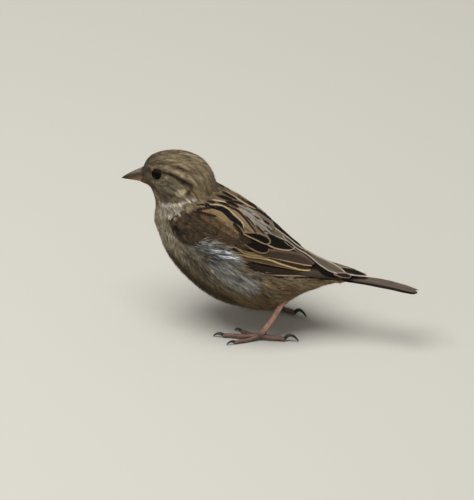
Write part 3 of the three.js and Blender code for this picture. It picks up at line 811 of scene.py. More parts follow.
# Looks of the long feathers: colours of the middle and the edges, how wide the edge is above the shaft,
# below it and round the tip, in chart units, and the colour of the upper edge where it has its own.
vaneLooks = {
    "shadow": ((17, 13, 10), (17, 13, 10), (0, 0, 0)),
    "underPrimary": ((32, 25, 20), (58, 46, 36), (0, 0.5, 0)),
    "outerPrimary": ((46, 37, 31), (192, 175, 148), (0, 1.25, 0.8)),
    "primary": ((44, 35, 29), (76, 63, 50), (0.4, 0.5, 0.6)),
    "primaryTip": ((78, 65, 53), (92, 78, 62), (0.5, 0.5, 1)),
    "secondaryLow": ((86, 71, 50), (122, 102, 72), (0.4, 0.9, 0.8)),
    "secondaryMid": ((56, 42, 30), (194, 170, 122), (0, 1.5, 1.2)),
    "secondaryTop": ((60, 46, 34), (180, 150, 120), (0, 1.2, 1.0)),
    "tertialBrown": ((66, 56, 44), (82, 68, 52), (2.2, 0.6, 1.2), (98, 82, 68)),
    "coverBuff": ((136, 114, 80), (166, 142, 102), (0.9, 0.8, 1), (112, 92, 64)),
    "coverMottled": ((38, 29, 22), (118, 96, 68), (0.9, 0.5, 0.8), (168, 146, 114)),
    "coverSliver": ((20, 15, 11), (150, 126, 90), (0, 1.1, 0.9)),
    "coverBlack": ((23, 19, 17), (144, 118, 86), (0, 1.4, 1.8)),
    "tertialBlack": ((23, 21, 15), (192, 162, 136), (1.0, 1.3, 1.5), (192, 178, 162)),
    "tertialSmall": ((22, 19, 15), (166, 146, 107), (1.7, 1.2, 2.2), (138, 118, 94)),
    "tertialOlive": ((116, 107, 89), (138, 128, 110), (0.4, 0.6, 0.8)),
    "tertialLong": ((100, 92, 79), (176, 160, 144), (1.1, 1.1, 1), (184, 168, 146)),
    "tipDark": ((38, 31, 27), (160, 144, 126), (0.8, 0.9, 1)),
    "farTip": ((31, 26, 22), (188, 172, 152), (0.8, 1, 1.2), (150, 134, 114)),
    "farStrip": ((29, 24, 20), (60, 48, 38), (0.8, 0, 0.8), (140, 124, 104)),
    "scapularOlive": ((108, 89, 62), (124, 104, 75), (0.9, 0.9, 1.4)),
    "scapularBuff": ((146, 123, 90), (152, 129, 98), (0.9, 0.9, 1.4)),
    "scapularBrown": ((82, 66, 48), (98, 80, 58), (0.9, 0.9, 1.4)),
    "scapularBlack": ((28, 26, 24), (44, 36, 28), (1.2, 0, 0.4), (196, 174, 138)),
    "scapularDark": ((38, 31, 26), (90, 72, 52), (0.9, 0.3, 0.8), (148, 124, 94)),
    "buffStripe": ((152, 127, 95), (128, 104, 76), (0.7, 0.6, 1), (174, 150, 116)),
    "darkLine": ((52, 39, 30), (62, 48, 36), (0, 0, 0.3)),
    "blackLine": ((30, 24, 19), (62, 50, 38), (0.2, 0.2, 0.4)),
    "paleLine": ((200, 184, 157), (170, 152, 124), (0.2, 0.2, 0.4)),
    "mantle": ((110, 93, 71), (130, 112, 88), (0.8, 0.8, 1.4)),
    "backGrey": ((150, 139, 125), (162, 151, 137), (1, 1, 1.8)),
    "backBrown": ((120, 106, 89), (136, 123, 106), (1, 1, 1.8)),
    "backPale": ((172, 163, 150), (146, 137, 124), (0.3, 0.3, 1)),
}

# Each feather of the folded wing is drawn as a line on the chart, from its root to its tip, with its
# width at each place. A tract has a look, a height over the body in mm, and its feathers.
wingTracts = [
    ("underPrimary", 0.0, [
        [(236, 268, 5), (255, 273, 5), (272, 275.6, 4), (305, 276.9, 3), (330, 277.9, 2.6),
         (349, 277.7, 2)]]),
    ("outerPrimary", 0.08, [
        [(238, 265.5, 5), (255, 270, 5), (272, 272.6, 5), (290, 273.4, 5), (308, 273.8, 4.4),
         (326, 275.4, 3)]]),
    ("primary", 0.16, [
        [(240, 264.5, 4), (270, 269.8, 5), (296, 272, 4.6), (312, 273.8, 5.4), (332, 275.6, 5),
         (349, 276.6, 2.6)],
        [(242, 263, 6), (272, 267.6, 6), (300, 270.6, 6), (326, 273.6, 5), (344, 275.8, 3)],
        [(244, 261.5, 6), (272, 265.5, 6), (300, 269, 6), (322, 272.6, 5), (337, 275, 3)]]),
    ("primaryTip", 0.3, [
        [(298, 271, 3.4), (312, 273.2, 7), (330, 275.4, 5.6), (346, 276.6, 2.6)]]),
    ("shadow", 0.36, [
        [(248, 260.8, 1.2), (264, 264.2, 1.9), (280, 267.2, 1.7), (293, 269.8, 0.6)]]),
    ("secondaryLow", 0.4, [
        [(240, 256, 6), (262, 260.2, 6), (275, 262.8, 6), (290, 266.3, 5), (302, 269.6, 2.6)]]),
    ("secondaryMid", 0.46, [
        [(244, 252, 5), (255, 254.8, 6), (270, 257.4, 6), (280, 260.9, 6.5), (290, 264, 6.5),
         (300, 267.1, 6), (310, 269.9, 3)]]),
    ("secondaryTop", 0.52, [
        [(248, 250.5, 5), (262, 253.8, 6), (272, 254.9, 6), (282, 257.2, 6), (295, 260, 6),
         (303, 262.3, 5), (311.5, 265.2, 2.6)]]),
    ("shadow", 0.58, [
        [(306, 256.5, 2), (315, 263.5, 4), (322, 270.2, 6.4), (330, 274.6, 4.6), (340, 276.4, 1.6)]]),
    ("coverBuff", 0.6, [
        [(228, 249, 3), (240, 252.6, 4), (252, 255.6, 4.6), (268, 257.6, 2)],
        [(236, 249.5, 2.6), (246, 252.2, 3.4), (256, 254.2, 3.4), (266, 255.2, 1.6)]]),
    ("tertialBrown", 0.68, [
        [(245, 246, 6), (262, 251.4, 8), (280, 254, 9), (297, 257, 10), (314, 263.4, 4.4)]]),
    ("coverMottled", 0.74, [
        [(217, 240.8, 3), (227, 245, 5), (236, 250, 4.6), (244, 253.6, 2.2)]]),
    ("coverSliver", 0.8, [
        [(231, 244.5, 2.4), (238, 247, 3.6), (246, 249.9, 4), (255, 252.7, 2.4)]]),
    ("tertialBlack", 0.84, [
        [(256, 230, 5), (263, 235.6, 10), (270, 239.4, 13), (276, 242.3, 12.8), (282, 244.2, 11.8),
         (288, 246, 9.4), (294.5, 247.4, 5.4)]]),
    ("coverBlack", 0.9, [
        [(234, 238, 3), (243, 240.8, 5), (249, 243.8, 7.6), (256, 246.8, 9.4), (262, 249, 9.2),
         (269, 250.4, 5.6)]]),
    ("tertialOlive", 0.92, [
        [(252, 221, 4), (262, 226.4, 5.6), (272, 230.8, 6), (282, 236, 3.6), (291, 241.8, 1.2)]]),
    ("tertialLong", 0.96, [
        [(269, 222.8, 2), (279, 231.6, 3), (287, 238.4, 3.8), (297, 246.6, 4), (306, 251.6, 4.4),
         (313, 256.2, 5.4), (321, 261.4, 8), (330, 266.4, 9.4), (338, 270, 7.6), (346, 273.2, 3.2)]]),
    ("tertialSmall", 1.0, [
        [(238, 230.6, 2.4), (247, 233.6, 5), (253, 235, 7.6), (259, 236.9, 9.2), (265, 239.8, 9.2),
         (270.4, 242.8, 5.6)]]),
    ("tipDark", 1.06, [
        [(333, 273.2, 3), (341, 274.4, 5.6), (346, 275, 5.4), (350.5, 276.2, 2.8)]]),
    ("darkLine", 1.08, [
        [(284, 236.8, 0.8), (290, 240.9, 1.3), (298, 247.4, 1.3), (303, 249.6, 1), (311, 255, 0.6)]]),
    ("scapularBrown", 1.0, [
        [(196, 217, 7), (208, 223, 10), (222, 231, 10), (238, 239, 5)]]),
    ("scapularOlive", 1.06, [
        [(200, 213.6, 7), (212, 218.6, 10), (225, 226.6, 11), (239, 238, 5)]]),
    ("scapularBuff", 1.12, [
        [(202, 209.4, 5), (214, 213, 8), (226, 219.6, 9.6), (240, 233, 5)]]),
    ("scapularDark", 1.18, [
        [(231.5, 220.5, 2.5), (236, 226, 5.2), (240, 230.4, 5), (243.4, 236, 2.4)]]),
    ("backBrown", 0.86, [
        [(228, 212, 8), (240, 220, 12), (254, 230, 12), (268, 238, 6)],
        [(232, 206, 8), (244, 213, 11), (256, 221, 10), (268, 229, 5)],
        [(236, 201, 7), (250, 209, 10), (262, 218, 10), (274, 227, 5)]]),
    ("backBrown", 1.14, [
        [(250, 210.5, 5), (258, 215.6, 7), (267, 222.4, 7), (274, 229, 4)]]),
    ("backGrey", 1.2, [
        [(240, 207, 6), (248, 213, 9), (257, 221, 10), (266, 230, 6)],
        [(236, 204.4, 5), (245, 209.6, 8), (255, 217, 8), (263, 225, 5)]]),
    ("backPale", 1.28, [
        [(240, 208.4, 0.8), (245, 211, 2.2), (250, 214.6, 0.8)],
        [(245, 211.6, 0.9), (250, 215, 2.4), (256, 220, 0.8)],
        [(246, 208.8, 0.8), (252, 213, 1.8), (258, 218.4, 0.7)],
        [(248, 217, 0.8), (253, 221.4, 1.8), (258, 227, 0.7)],
        [(257, 219, 0.9), (262, 222, 2.6), (267, 226.4, 0.9)],
        [(260, 224, 0.8), (266, 229, 1.8), (272, 235, 0.6)],
        [(264, 222.6, 0.8), (268.6, 226.4, 2), (272.6, 231, 0.7)],
        [(236, 203.6, 0.6), (243, 207, 1.4), (250, 211.4, 0.6)]]),
    ("darkLine", 1.32, [
        [(262.6, 219.4, 1), (266, 221.8, 2.2), (269, 224, 1)],
        [(244, 214.6, 0.5), (249, 219, 1.2), (254, 225, 0.5)],
        [(252, 214, 0.5), (257, 217.4, 1.1), (262, 222, 0.5)],
        [(254, 223, 0.5), (259, 228, 1.2), (264, 234, 0.5)],
        [(240, 205.8, 0.4), (246, 209, 1), (252, 213, 0.4)]]),
    ("buffStripe", 1.24, [
        [(223, 205, 2.4), (231, 209.6, 4.2), (238.4, 216, 5.2), (246, 224.6, 5.6), (253.6, 233.4, 3)]]),
    ("scapularBlack", 1.32, [
        [(201, 203, 1.5), (210, 204.9, 2.8), (217, 206.2, 4.8), (222, 208, 6.2), (227, 211.6, 7.2),
         (231.5, 216.4, 7), (236.5, 220.2, 6.2), (241, 224, 4.8), (243.4, 228.6, 2.2)]]),
    ("darkLine", 1.38, [
        [(219, 203.4, 1), (228, 206, 1.7), (236, 209.8, 2), (241.4, 214.4, 2), (247, 221, 1.8),
         (252, 227.6, 1.6), (256, 232.6, 0.8)],
        [(194.6, 207.4, 1), (203, 208.1, 2), (212, 207, 1.4)],
        [(196, 204.8, 0.8), (203, 203.8, 1.5), (210, 204.2, 0.9)],
        [(192.6, 211, 1), (200, 211.6, 2), (208, 214, 2.6), (217, 216, 1.4)]]),
    ("mantle", 1.3, [
        [(203, 198.6, 6), (218, 202, 8), (236, 208, 5)],
        [(212, 193.6, 6), (228, 198, 9), (246, 206.4, 6)],
        [(220, 190, 4), (234, 196, 7), (250, 206, 5)]]),
    ("paleLine", 1.46, [
        [(211.6, 199.3, 1), (219, 200.5, 1.7), (226.6, 202.3, 1)],
        [(225.6, 190.8, 0.8), (236, 197.6, 1.3), (246, 203.9, 1.3), (256, 209, 0.8)]]),
    ("blackLine", 1.5, [
        [(206.6, 200.6, 1.4), (211, 201.5, 2.4), (215, 202.2, 1.2)],
        [(217.6, 201.7, 1), (223, 203, 2.2), (229, 205.2, 1.2)],
        [(224.6, 200.6, 1.4), (231, 202.8, 3), (238.6, 206.8, 1.6)],
        [(216.6, 194.8, 1.6), (225, 197.3, 3.4), (233, 200.2, 1.6)],
        [(228.6, 200, 1), (236, 201.4, 2), (243.6, 203.8, 1.2)],
        [(221.6, 191.2, 1.4), (229, 194.8, 2.6), (236.6, 198.9, 1.4)]]),
]

# Feathers of the far wing that show past the ridge of the back, drawn where the camera sees them.
farTracts = [
    ("farStrip", 0.9, [
        [(270.6, 219.6, 2), (278, 226.2, 4.6), (285.4, 232.4, 5), (292.6, 238.6, 4.6),
         (301, 246, 2.2)]]),
    ("darkLine", 1.4, [
        [(229, 190.2, 1), (240, 197.4, 2), (250, 204.2, 2.2), (260, 210.7, 2.2), (271, 218.6, 1.4)]]),
    ("farTip", 0.7, [
        [(332, 266.6, 3), (343, 269.4, 6.4), (354, 271.6, 7.4), (366, 275, 3)]]),
]

wingPlan = {
    "sink": 1.2, "tipSink": 0.15, "sinkFrom": (16, 30),   # mm under the surface, and the x where it changes
    # x, and how far the left wing laps over the right one there, mm
    "ridgeAt": (-30, 0, 20, 40, 60), "ridgeWidth": (6.5, 6.5, 3.6, 1.2, 0.8),
    "easePlace": 5, "easeLift": 22,   # rounds of smoothing of what the feathers lie on
    "tuck": 1.2, "clear": 0.3, "rootSink": 0.12, "thick": 0.08,   # mm
    "rowEvery": 1.2, "rows": (6, 34), # mm from row to row, the fewest and the most rows
    "step": 0.035,                    # mm from one feather of a tract to the next
    "blunt": 0.86, "brightness": 0.66,
    "noRim": -9, "rimRange": (-4, 2), # chart units
    "jump": 5, "outside": 120,        # mm, the largest jump between neighbours, and a place outside the bird
}
vaneColumns = np.array([-1, -0.86, -0.7, -0.53, -0.36, -0.18, 0, 0.18, 0.36, 0.53, 0.7, 0.86, 1])
middleColumn = len(vaneColumns) // 2

# What the long feathers lie on: the body with folds between the wing and the back eased.
carrierNodes = skinPlan["nodes"] + ["left_wing_tip", "right_wing_tip", "tail"]
carrierShape, carrierPoints, carrierNormals = fuse(carrierNodes, skinPlan)
carrierPoints = soften(carrierShape, carrierPoints, wingPlan["easePlace"], 0.6)
carrierLifts = unit(soften(carrierShape, carrierNormals, wingPlan["easeLift"], 0.6))
carrierFaces = corners(carrierShape.faces)
carrierTree = treeOf(carrierPoints, carrierFaces)

def liftAt(spot, face):
    ends = carrierFaces[face]
    weights = 1 / (np.linalg.norm(carrierPoints[ends] - np.array(spot), axis=1) + 1e-3)
    return weights @ carrierLifts[ends] / weights.sum()

def vaneOutline(shares, blunt):
    rising = 0.6 + 0.4 * smooth(0, 0.2, shares)
    ending = np.sqrt(np.maximum(1 - (np.maximum(shares - blunt, 0) / (1 - blunt)) ** 2, 0.0))
    return np.maximum(rising * ending, 0.03)

class VaneStack:
    def __init__(self):
        self.points, self.faces, self.uv, self.middle, self.edge, self.rim = [], [], [], [], [], []
        self.count = 0

    # grid and normals are rows by columns; half is each row's half width and lengths how far along.
    def add(self, grid, normals, half, lengths, look, mirrored, tone):
        middle, edge, rims, *over = look
        rows, columns = grid.shape[:2]
        across = np.broadcast_to(vaneColumns, (rows, columns))
        inUnits = half[:, None] * perMm
        upper, lower, tip = (wide if wide else wingPlan["noRim"] for wide in rims)
        toTip = ((lengths[-1] - lengths) * perMm)[:, None]
        rim = np.maximum(upper - inUnits * (1 + across), lower - inUnits * (1 - across))
        rim = np.clip(np.maximum(rim, tip - toTip), *wingPlan["rimRange"])
        edges = np.where(across[..., None] < 0, paint(*(over[0] if over else edge)), paint(*edge))
        uv = np.stack([across * half[:, None], np.broadcast_to(lengths[:, None], (rows, columns))], -1)
        flip = [1, -1 if mirrored else 1, 1]
        under = (grid - normals * wingPlan["thick"]) * flip
        grid = grid * flip
        number = np.arange(rows * columns).reshape(rows, columns) + self.count
        below = number + rows * columns
        strips = [(number[:-1, :-1], number[:-1, 1:], number[1:, 1:], number[1:, :-1]),
                  (below[:-1, :-1], below[1:, :-1], below[1:, 1:], below[:-1, 1:]),
                  (number[:-1, 0], number[1:, 0], below[1:, 0], below[:-1, 0]),
                  (number[:-1, -1], below[:-1, -1], below[1:, -1], number[1:, -1]),
                  (number[0, :-1], below[0, :-1], below[0, 1:], number[0, 1:]),
                  (number[-1, :-1], number[-1, 1:], below[-1, 1:], below[-1, :-1])]
        quads = np.vstack([np.stack(strip, -1).reshape(-1, 4) for strip in strips])
        centre = grid[0, middleColumn]
        facing = np.cross(grid[1, middleColumn] - centre, grid[0, middleColumn + 1] - centre)
        if facing @ (normals[0, middleColumn] * flip) > 0:
            quads = quads[:, ::-1]
        self.faces.append(quads)
        for block in (grid, under):
            self.points.append(block.reshape(-1, 3))
            self.uv.append(uv.reshape(-1, 2))
            self.rim.append(rim.reshape(-1))
            self.middle.append(np.tile(paint(*middle) * tone, (rows * columns, 1)))
            self.edge.append((edges * tone).reshape(-1, 3))
        self.count += 2 * rows * columns

    def build(self, name, material):
        faces = np.vstack(self.faces)
        mesh = startMesh(name, np.vstack(self.points), faces.ravel(), np.arange(len(faces)) * 4)
        addColours(mesh, "middleColour", np.vstack(self.middle))
        addColours(mesh, "edgeColour", np.vstack(self.edge))
        rims = mesh.attributes.new("rimPlace", "FLOAT", "POINT")
        rims.data.foreach_set("value", np.concatenate(self.rim).astype(np.float32))
        layer = mesh.uv_layers.new(name="vane")
        layer.data.foreach_set("uv", np.vstack(self.uv)[faces.ravel()].astype(np.float32).ravel())
        return placeSmooth(mesh, name, material)

# The place on the folded wing that shows at this spot of the chart, raised by the feather's height.
def settle(spot, height, known, level, plan):
    aim = spot
    for _ in range(3):
        free = Vector(chartPoint(*aim) + chartBack * level)
        hit = carrierTree.ray_cast(Vector(chartPoint(*aim) + chartBack * plan["outside"]), Vector(-chartBack))
        missed = hit[0] is None or (known is not None and (Vector(known) - hit[0]).length > plan["jump"])
        if missed:
            hit = carrierTree.find_nearest(free)
        lift = liftAt(hit[0], hit[2])
        loose = smooth(*plan["sinkFrom"][::-1], hit[0][0])
        sink = plan["tipSink"] + (plan["sink"] - plan["tipSink"]) * loose
        landed = np.array(hit[0]) + lift * (height * (0.45 + 0.55 * loose) - sink)
        if missed:   # past the outline it stands clear of the wing a little
            beyond = np.array(free - hit[0])
            return landed + beyond * min(1, plan["clear"] / max(np.linalg.norm(beyond), 1e-6)), lift
        aim = aim + spot - seen(landed)
    return landed, lift

# Lays one feather, drawn on the chart as the camera sees it, over the folded wing.
def drape(line, height, plan):
    line = np.array(line, float)
    line, widths = line[:, :2], line[:, 2]
    long = np.linalg.norm(np.diff(line, axis=0), axis=1).sum() / perMm
    rows = int(np.clip(long / plan["rowEvery"], *plan["rows"]))
    shares = 1 - (1 - np.linspace(0, 1, rows)) ** 1.25
    spine = curveAt(line, shares)
    way = unit(np.gradient(spine, axis=0))
    across = np.stack([-way[:, 1], way[:, 0]], 1)
    half = np.interp(shares, np.linspace(0, 1, len(widths)), widths) / 2 * vaneOutline(shares, plan["blunt"])
    spots = spine[:, None] + across[:, None] * (half[:, None] * vaneColumns)[..., None]
    grid, lifts = np.zeros(spots.shape[:2] + (3,)), np.zeros(spots.shape[:2] + (3,))
    heights = height - plan["rootSink"] * (1 - smooth(0, 0.25, shares))
    order = sorted(range(len(vaneColumns)), key=lambda c: abs(vaneColumns[c]))
    level = 0.0
    for i in range(rows):
        for j in order:
            inner = j + (j < middleColumn) - (j > middleColumn)
            known = grid[i, inner] if inner != j else None
            if known is not None:
                level = known @ chartBack
            grid[i, j], lifts[i, j] = settle(spots[i, j], heights[i], known, level, plan)
        level = grid[i, middleColumn] @ chartBack
    steps = np.linalg.norm(np.diff(grid[:, middleColumn], axis=0), axis=1)
    return grid, unit(lifts), half / perMm, np.concatenate([[0], np.cumsum(steps)])

# Barbs run slantwise from the shaft, and the edge's colour is ragged where it meets the middle's.
def vaneMaterial(name, roughness):
    make = MaterialMaker(name)
    across, along, _ = make.parts(make.add("UVMap", {}, "UV", uv_map="vane"))
    aside = make.maths("ABSOLUTE", across)
    barbs = make.maths("SUBTRACT", along, make.maths("MULTIPLY", aside, 1.5))
    streak = make.add("CombineXYZ", {"X": make.maths("MULTIPLY", barbs, 4.5),
                                     "Y": make.maths("MULTIPLY", across, 0.55)})
    grain = make.noise(streak, 1, 3)
    blotch = make.noise(make.where(), 420, 2)
    ragged = make.maths("MULTIPLY", make.maths("SUBTRACT", grain, 0.5), 1.6)
    rim = make.maths("ADD", make.attribute("rimPlace", "Fac"), ragged)
    rimShare = make.mapped(rim, (-0.5, 0.5), interpolation_type="SMOOTHSTEP")
    colour = make.mixed(rimShare, make.attribute("middleColour"), make.attribute("edgeColour"))
    marks = make.maths("ADD", make.maths("MULTIPLY", grain, 0.9), make.maths("MULTIPLY", blotch, 0.5))
    toned = make.scaled(colour, make.maths("ADD", 0.3, marks))
    shaftLine = make.mapped(aside, (0.05, 0.16), (0.72, 1))
    looks = {"Base Color": make.scaled(toned, shaftLine), "Roughness": roughness, "Specular IOR Level": 0.07}
    return make.surface(looks, grain, 0.5, 0.00012)

wingVane = vaneMaterial("wingVane", 0.85)

def drapeTracts(tracts):
    return [(vaneLooks[look], *drape(line, height + number * wingPlan["step"], wingPlan))
            for look, height, feathers in tracts for number, line in enumerate(feathers)]

nearWing, farWing = drapeTracts(wingTracts), drapeTracts(farTracts)

def makeWing(side, plan):
    chance = np.random.default_rng(31)
    stack = VaneStack()
    right = side == "right"
    for look, grid, lifts, half, lengths in nearWing:
        tone = plan["brightness"] * (1 + chance.normal(0, 0.04))
        if right:  # it tucks in under the left wing along the ridge of the back
            ridge = np.interp(grid[..., 0], plan["ridgeAt"], plan["ridgeWidth"])
            tuck = plan["tuck"] * smooth(-ridge - 1.2, 0.2 - ridge, grid[..., 1])
            grid = np.where(np.arange(3) == 1, np.minimum(grid, -0.3), grid) - lifts * tuck[..., None]
        stack.add(grid, lifts, half, lengths, look, right, tone)
    for look, grid, lifts, half, lengths in farWing if right else []:
        stack.add(grid, lifts, half, lengths, look, False, plan["brightness"])
    wing = stack.build(side + "WingFeathers", wingVane)
    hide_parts(side + "_wing_tip")

for side in ("left", "right"):
    makeWing(side, wingPlan)
print("wing feathers laid")

# The tail: six pairs of feathers folded over each other, the middle pair on top.
tailPlan = {
    "root": (29, 28.3), "tip": (67.4, 25.9),   # x and z of the middle pair, mm
    "pairs": 6, "rows": 22, "arch": 1.5,
    "spread": (0.22, 0.36, 0.3),    # mm from one feather to the next, at the root, further on and at the tip
    "halfWidth": 1.75, "widthShares": (0.8, 1.1, 0.95, 0.5), "rootRise": 0.8,
    "drop": 0.13, "farDrop": 0.05, "droop": 0.05, "notch": 2.6,
    "middle": (100, 88, 79), "edge": (200, 188, 170), "under": (34, 24, 17), "brightness": 0.68,
}

def makeTail(plan):
    stack = VaneStack()
    chance = np.random.default_rng(41)
    (rootX, rootZ), (lastX, lastZ) = plan["root"], plan["tip"]
    shares = 1 - (1 - np.linspace(0, 1, plan["rows"])) ** 1.3
    arch = plan["arch"] * np.sin(np.pi * shares ** 1.2)
    half = plan["halfWidth"] * vaneOutline(shares, 0.95)
    half = half * np.interp(shares, [0, 0.55, 0.85, 1], plan["widthShares"])
    for pair in reversed(range(plan["pairs"])):
        for side in (-1, 1):
            rims = (0, 0, 0) if pair <= 2 else (0, 1.5, 0) if side > 0 else (1, 0, 0)
            look = (plan["middle"], plan["edge"] if side > 0 else plan["under"], rims)
            long = lastX - plan["notch"] * abs(1 - pair / 3.4) ** 1.5 - rootX
            x = rootX + long * shares
            drop = (plan["drop"] if side < 0 else plan["farDrop"]) * (pair + 0.25 * side)
            z = rootZ + plan["rootRise"] + (lastZ - rootZ) * shares + arch - drop
            spread = (0.35 + pair) * np.interp(shares, [0, 0.6, 1], plan["spread"])
            y = side * spread[:, None] + half[:, None] * vaneColumns
            z = z[:, None] - plan["droop"] * y ** 2
            grid = np.stack([np.broadcast_to(x[:, None], y.shape), y, z], -1)
            normals = unit(np.stack([np.full(y.shape, 0.05), 2 * plan["droop"] * y, np.ones(y.shape)], -1))
            tone = plan["brightness"] * (1 + chance.normal(0, 0.06))
            stack.add(grid, normals, half, long * shares, look, False, tone)
    tail = stack.build("tailFeathers", vaneMaterial("tailVane", 0.75))
    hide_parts("tail")

makeTail(tailPlan)
print("tail laid")

# Bridges rings of places, in bird millimetres, into one closed tube. Each ring starts as a circle.
def ringTube(rings):
    shape = bmesh.new()
    before = None
    for ring in rings:
        made = bmesh.ops.create_circle(shape, cap_ends=False, radius=1, segments=len(ring))["verts"]
        for vertex, spot in zip(made, toFrame(ring)):
            vertex.co = spot
        edges = list({e for v in made for e in v.link_edges})
        if before:
            bmesh.ops.bridge_loops(shape, edges=before + edges)
        else:
            bmesh.ops.contextual_create(shape, geom=edges)
        before = edges
    bmesh.ops.contextual_create(shape, geom=[e for e in before if e.is_valid])
    bmesh.ops.recalc_face_normals(shape, faces=shape.faces)
    return shape

def finishPiece(shape, name, material, levels=0):
    for face in shape.faces:
        face.smooth = True
    mesh = bpy.data.meshes.new(name)
    shape.to_mesh(mesh)
    shape.free()
    piece = place(mesh, name, material)
    if levels:
        rounder = piece.modifiers.new("rounder", "SUBSURF")
        rounder.levels = rounder.render_levels = levels
    return piece, fromFrame([v.co for v in mesh.vertices])

# The bill: two short halves that meet along the mouth, with the nostrils near the base.
billPlan = {
    "tip": (-68.7, 64.45), "mouth": (-56.6, 66.95),
    "rings": 18, "sides": 28,
    "halfWidth": 3.5, "keel": 0.75, "slit": 0.08,
    # Depth, how fast it tapers, how far the rings slant, and the length as a share of the upper half's.
    "upper": (4.95, 0.8, 1, 1), "lower": (2.6, 0.95, -0.4, 0.93),
    "nostril": (-59.6, 1.9, 70.1), "nostrilSize": 0.5, "nostrilDepth": 0.55,
    # ridge is the colour of a paler band along the top of the upper bill: a painted highlight.
    "ridge": (100, 90, 81), "top": (50, 38, 29), "low": (124, 96, 62),
    "under": (136, 104, 64), "underEnd": (88, 68, 46), "tipColour": (32, 27, 23),
}

def mouthLine(along, plan):
    return plan["mouth"][1] + (plan["tip"][1] - plan["mouth"][1]) * along ** 1.6

def billRings(side, plan):
    depth, taper, slant, shorter = plan["upper" if side > 0 else "lower"]
    rings = []
    for i in range(plan["rings"] + 1):
        t = (i / plan["rings"]) ** 0.9
        reach = t * shorter
        x = plan["mouth"][0] + (plan["tip"][0] - plan["mouth"][0]) * reach
        mouth = mouthLine(reach, plan) + side * plan["slit"]
        left = max(1 - t, 0)
        wide = plan["halfWidth"] * left ** 0.8 + 0.1
        tall = depth * left ** taper + 0.16
        ring = []
        for j in range(plan["sides"]):
            angle = 2 * math.pi * j / plan["sides"]
            across, lift = math.cos(angle), math.sin(angle)
            if lift >= 0:
                high = tall * lift ** 0.9
                narrow = 1 - (1 - plan["keel"]) * lift ** 2
                ring.append((x - 0.1 * high * left * slant, wide * across * narrow, mouth + side * high))
            else:
                inward = side * 0.35 * abs(across) ** 2 * wide * lift * -0.3
                ring.append((x, wide * across * 0.96, mouth + inward))
        rings.append(ring)
    return rings

def billMaterial():
    make = MaterialMaker("billHorn")
    stretched = make.add("Mapping", {"Vector": make.where(), "Scale": (0.35, 1, 1)}, "Vector")
    grain = make.noise(stretched, 1500, 4)
    colour = make.scaled(make.attribute("hornColour"), make.mapped(grain, (0.3, 0.7), (0.8, 1.2)))
    looks = {"Base Color": colour, "Roughness": 0.45, "Specular IOR Level": 0.25}
    return make.surface(looks, grain, 0.25, 0.0001)

billHorn = billMaterial()

def pressNostrils(shape, plan):
    for vertex in shape.verts:
        spot = fromFrame(vertex.co)
        pit = np.array(plan["nostril"]) * [1, 1 if spot[1] > 0 else -1, 1]
        near = np.linalg.norm((spot - pit) * [0.7, 1, 1])
        depth = plan["nostrilDepth"] * mm * max(0, 1 - near / plan["nostrilSize"] / 1.4)
        vertex.co.y -= math.copysign(depth, spot[1])

def billColours(side, points, plan):
    along = (plan["mouth"][0] - points[:, 0]) / (plan["mouth"][0] - plan["tip"][0])
    along = np.clip(along, 0, 1)
    if side > 0:
        depth, taper = plan["upper"][:2]
        high = (points[:, 2] - mouthLine(along, plan)) / (depth * (1 - along) ** taper + 0.16)
        low = smooth(0.36, 0.16, high + 0.3 * smooth(0.3, 0.8, along))
        # A paler band along the top, fading towards the tip: painted highlight.
        ridge = smooth(0.66, 0.88, high) * smooth(0.85, 0.5, along) * 0.75
        colour = blend(blend(paint(*plan["top"]), paint(*plan["low"]), low), paint(*plan["ridge"]), ridge)
        # Darker in and round the nostril pits: painted shade.
        pits = [np.linalg.norm(points - np.array(plan["nostril"]) * [1, s, 1], axis=1) for s in (1, -1)]
        colour = colour * (0.35 + 0.65 * smooth(0.25, 0.75, np.minimum(*pits)))[:, None]
    else:
        colour = blend(paint(*plan["under"]), paint(*plan["underEnd"]), smooth(0.3, 0.75, along))
    return blend(colour, paint(*plan["tipColour"]), smooth(0.7, 0.95, along) * 0.9)

def makeBill(plan):
    for side, name, node in ((1, "upperBill", "bill_upper"), (-1, "lowerBill", "bill_lower")):
        shape = ringTube(billRings(side, plan))
        if side > 0:
            pressNostrils(shape, plan)
        piece, points = finishPiece(shape, name, billHorn, 1)
        addColours(piece.data, "hornColour", billColours(side, points, plan))
        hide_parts(node)

makeBill(billPlan)
print("bill made")

# The eyes: a deep wet ball with a dark iris, behind a thin rim of lid.
eyePlan = {
    "centre": (-49.85, 6.9, 72.85), "radius": 3.0,
    "look": (-0.18, 0.97, 0.1),   # the way the right eye faces
    "opening": 36,                # degrees from the eye's axis to the lid's edge
    "irisEdge": (30, 25),         # degrees from the axis where the iris gives way to the pupil
    "lidThick": 0.22, "lidSteps": 36, "lidSquash": 0.93,
    # The lid's cross section: radians past the opening, and how far out in lid thicknesses.
    "lidProfile": [(0, 0.02), (-0.02, 0.45), (0.03, 0.95), (0.14, 1), (0.28, 0.7), (0.5, 0.55), (0.5, 0),
                   (0.25, -0.02)],
    "iris": (18, 10, 6), "pupil": (3, 3, 3), "lid": (15, 12, 10),
}

def eyeMaterials(plan):
    make = MaterialMaker("wetEye")
    looks = {"Base Color": make.attribute("eyeColour"), "Roughness": 0.1, "Specular IOR Level": 0.06}
    ball = make.surface(looks)
    make = MaterialMaker("eyelidSkin")
    folds = make.add("TexVoronoi", {"Vector": make.where(), "Scale": 4200}, "Distance")
    colour = make.mixed(folds, opaque(plan["lid"], 0.7), opaque(plan["lid"], 1.2))
    looks = {"Base Color": colour, "Roughness": 0.7, "Specular IOR Level": 0.05}
    return ball, make.surface(looks, folds, 0.4, 0.0001)

wetEye, eyelidSkin = eyeMaterials(eyePlan)

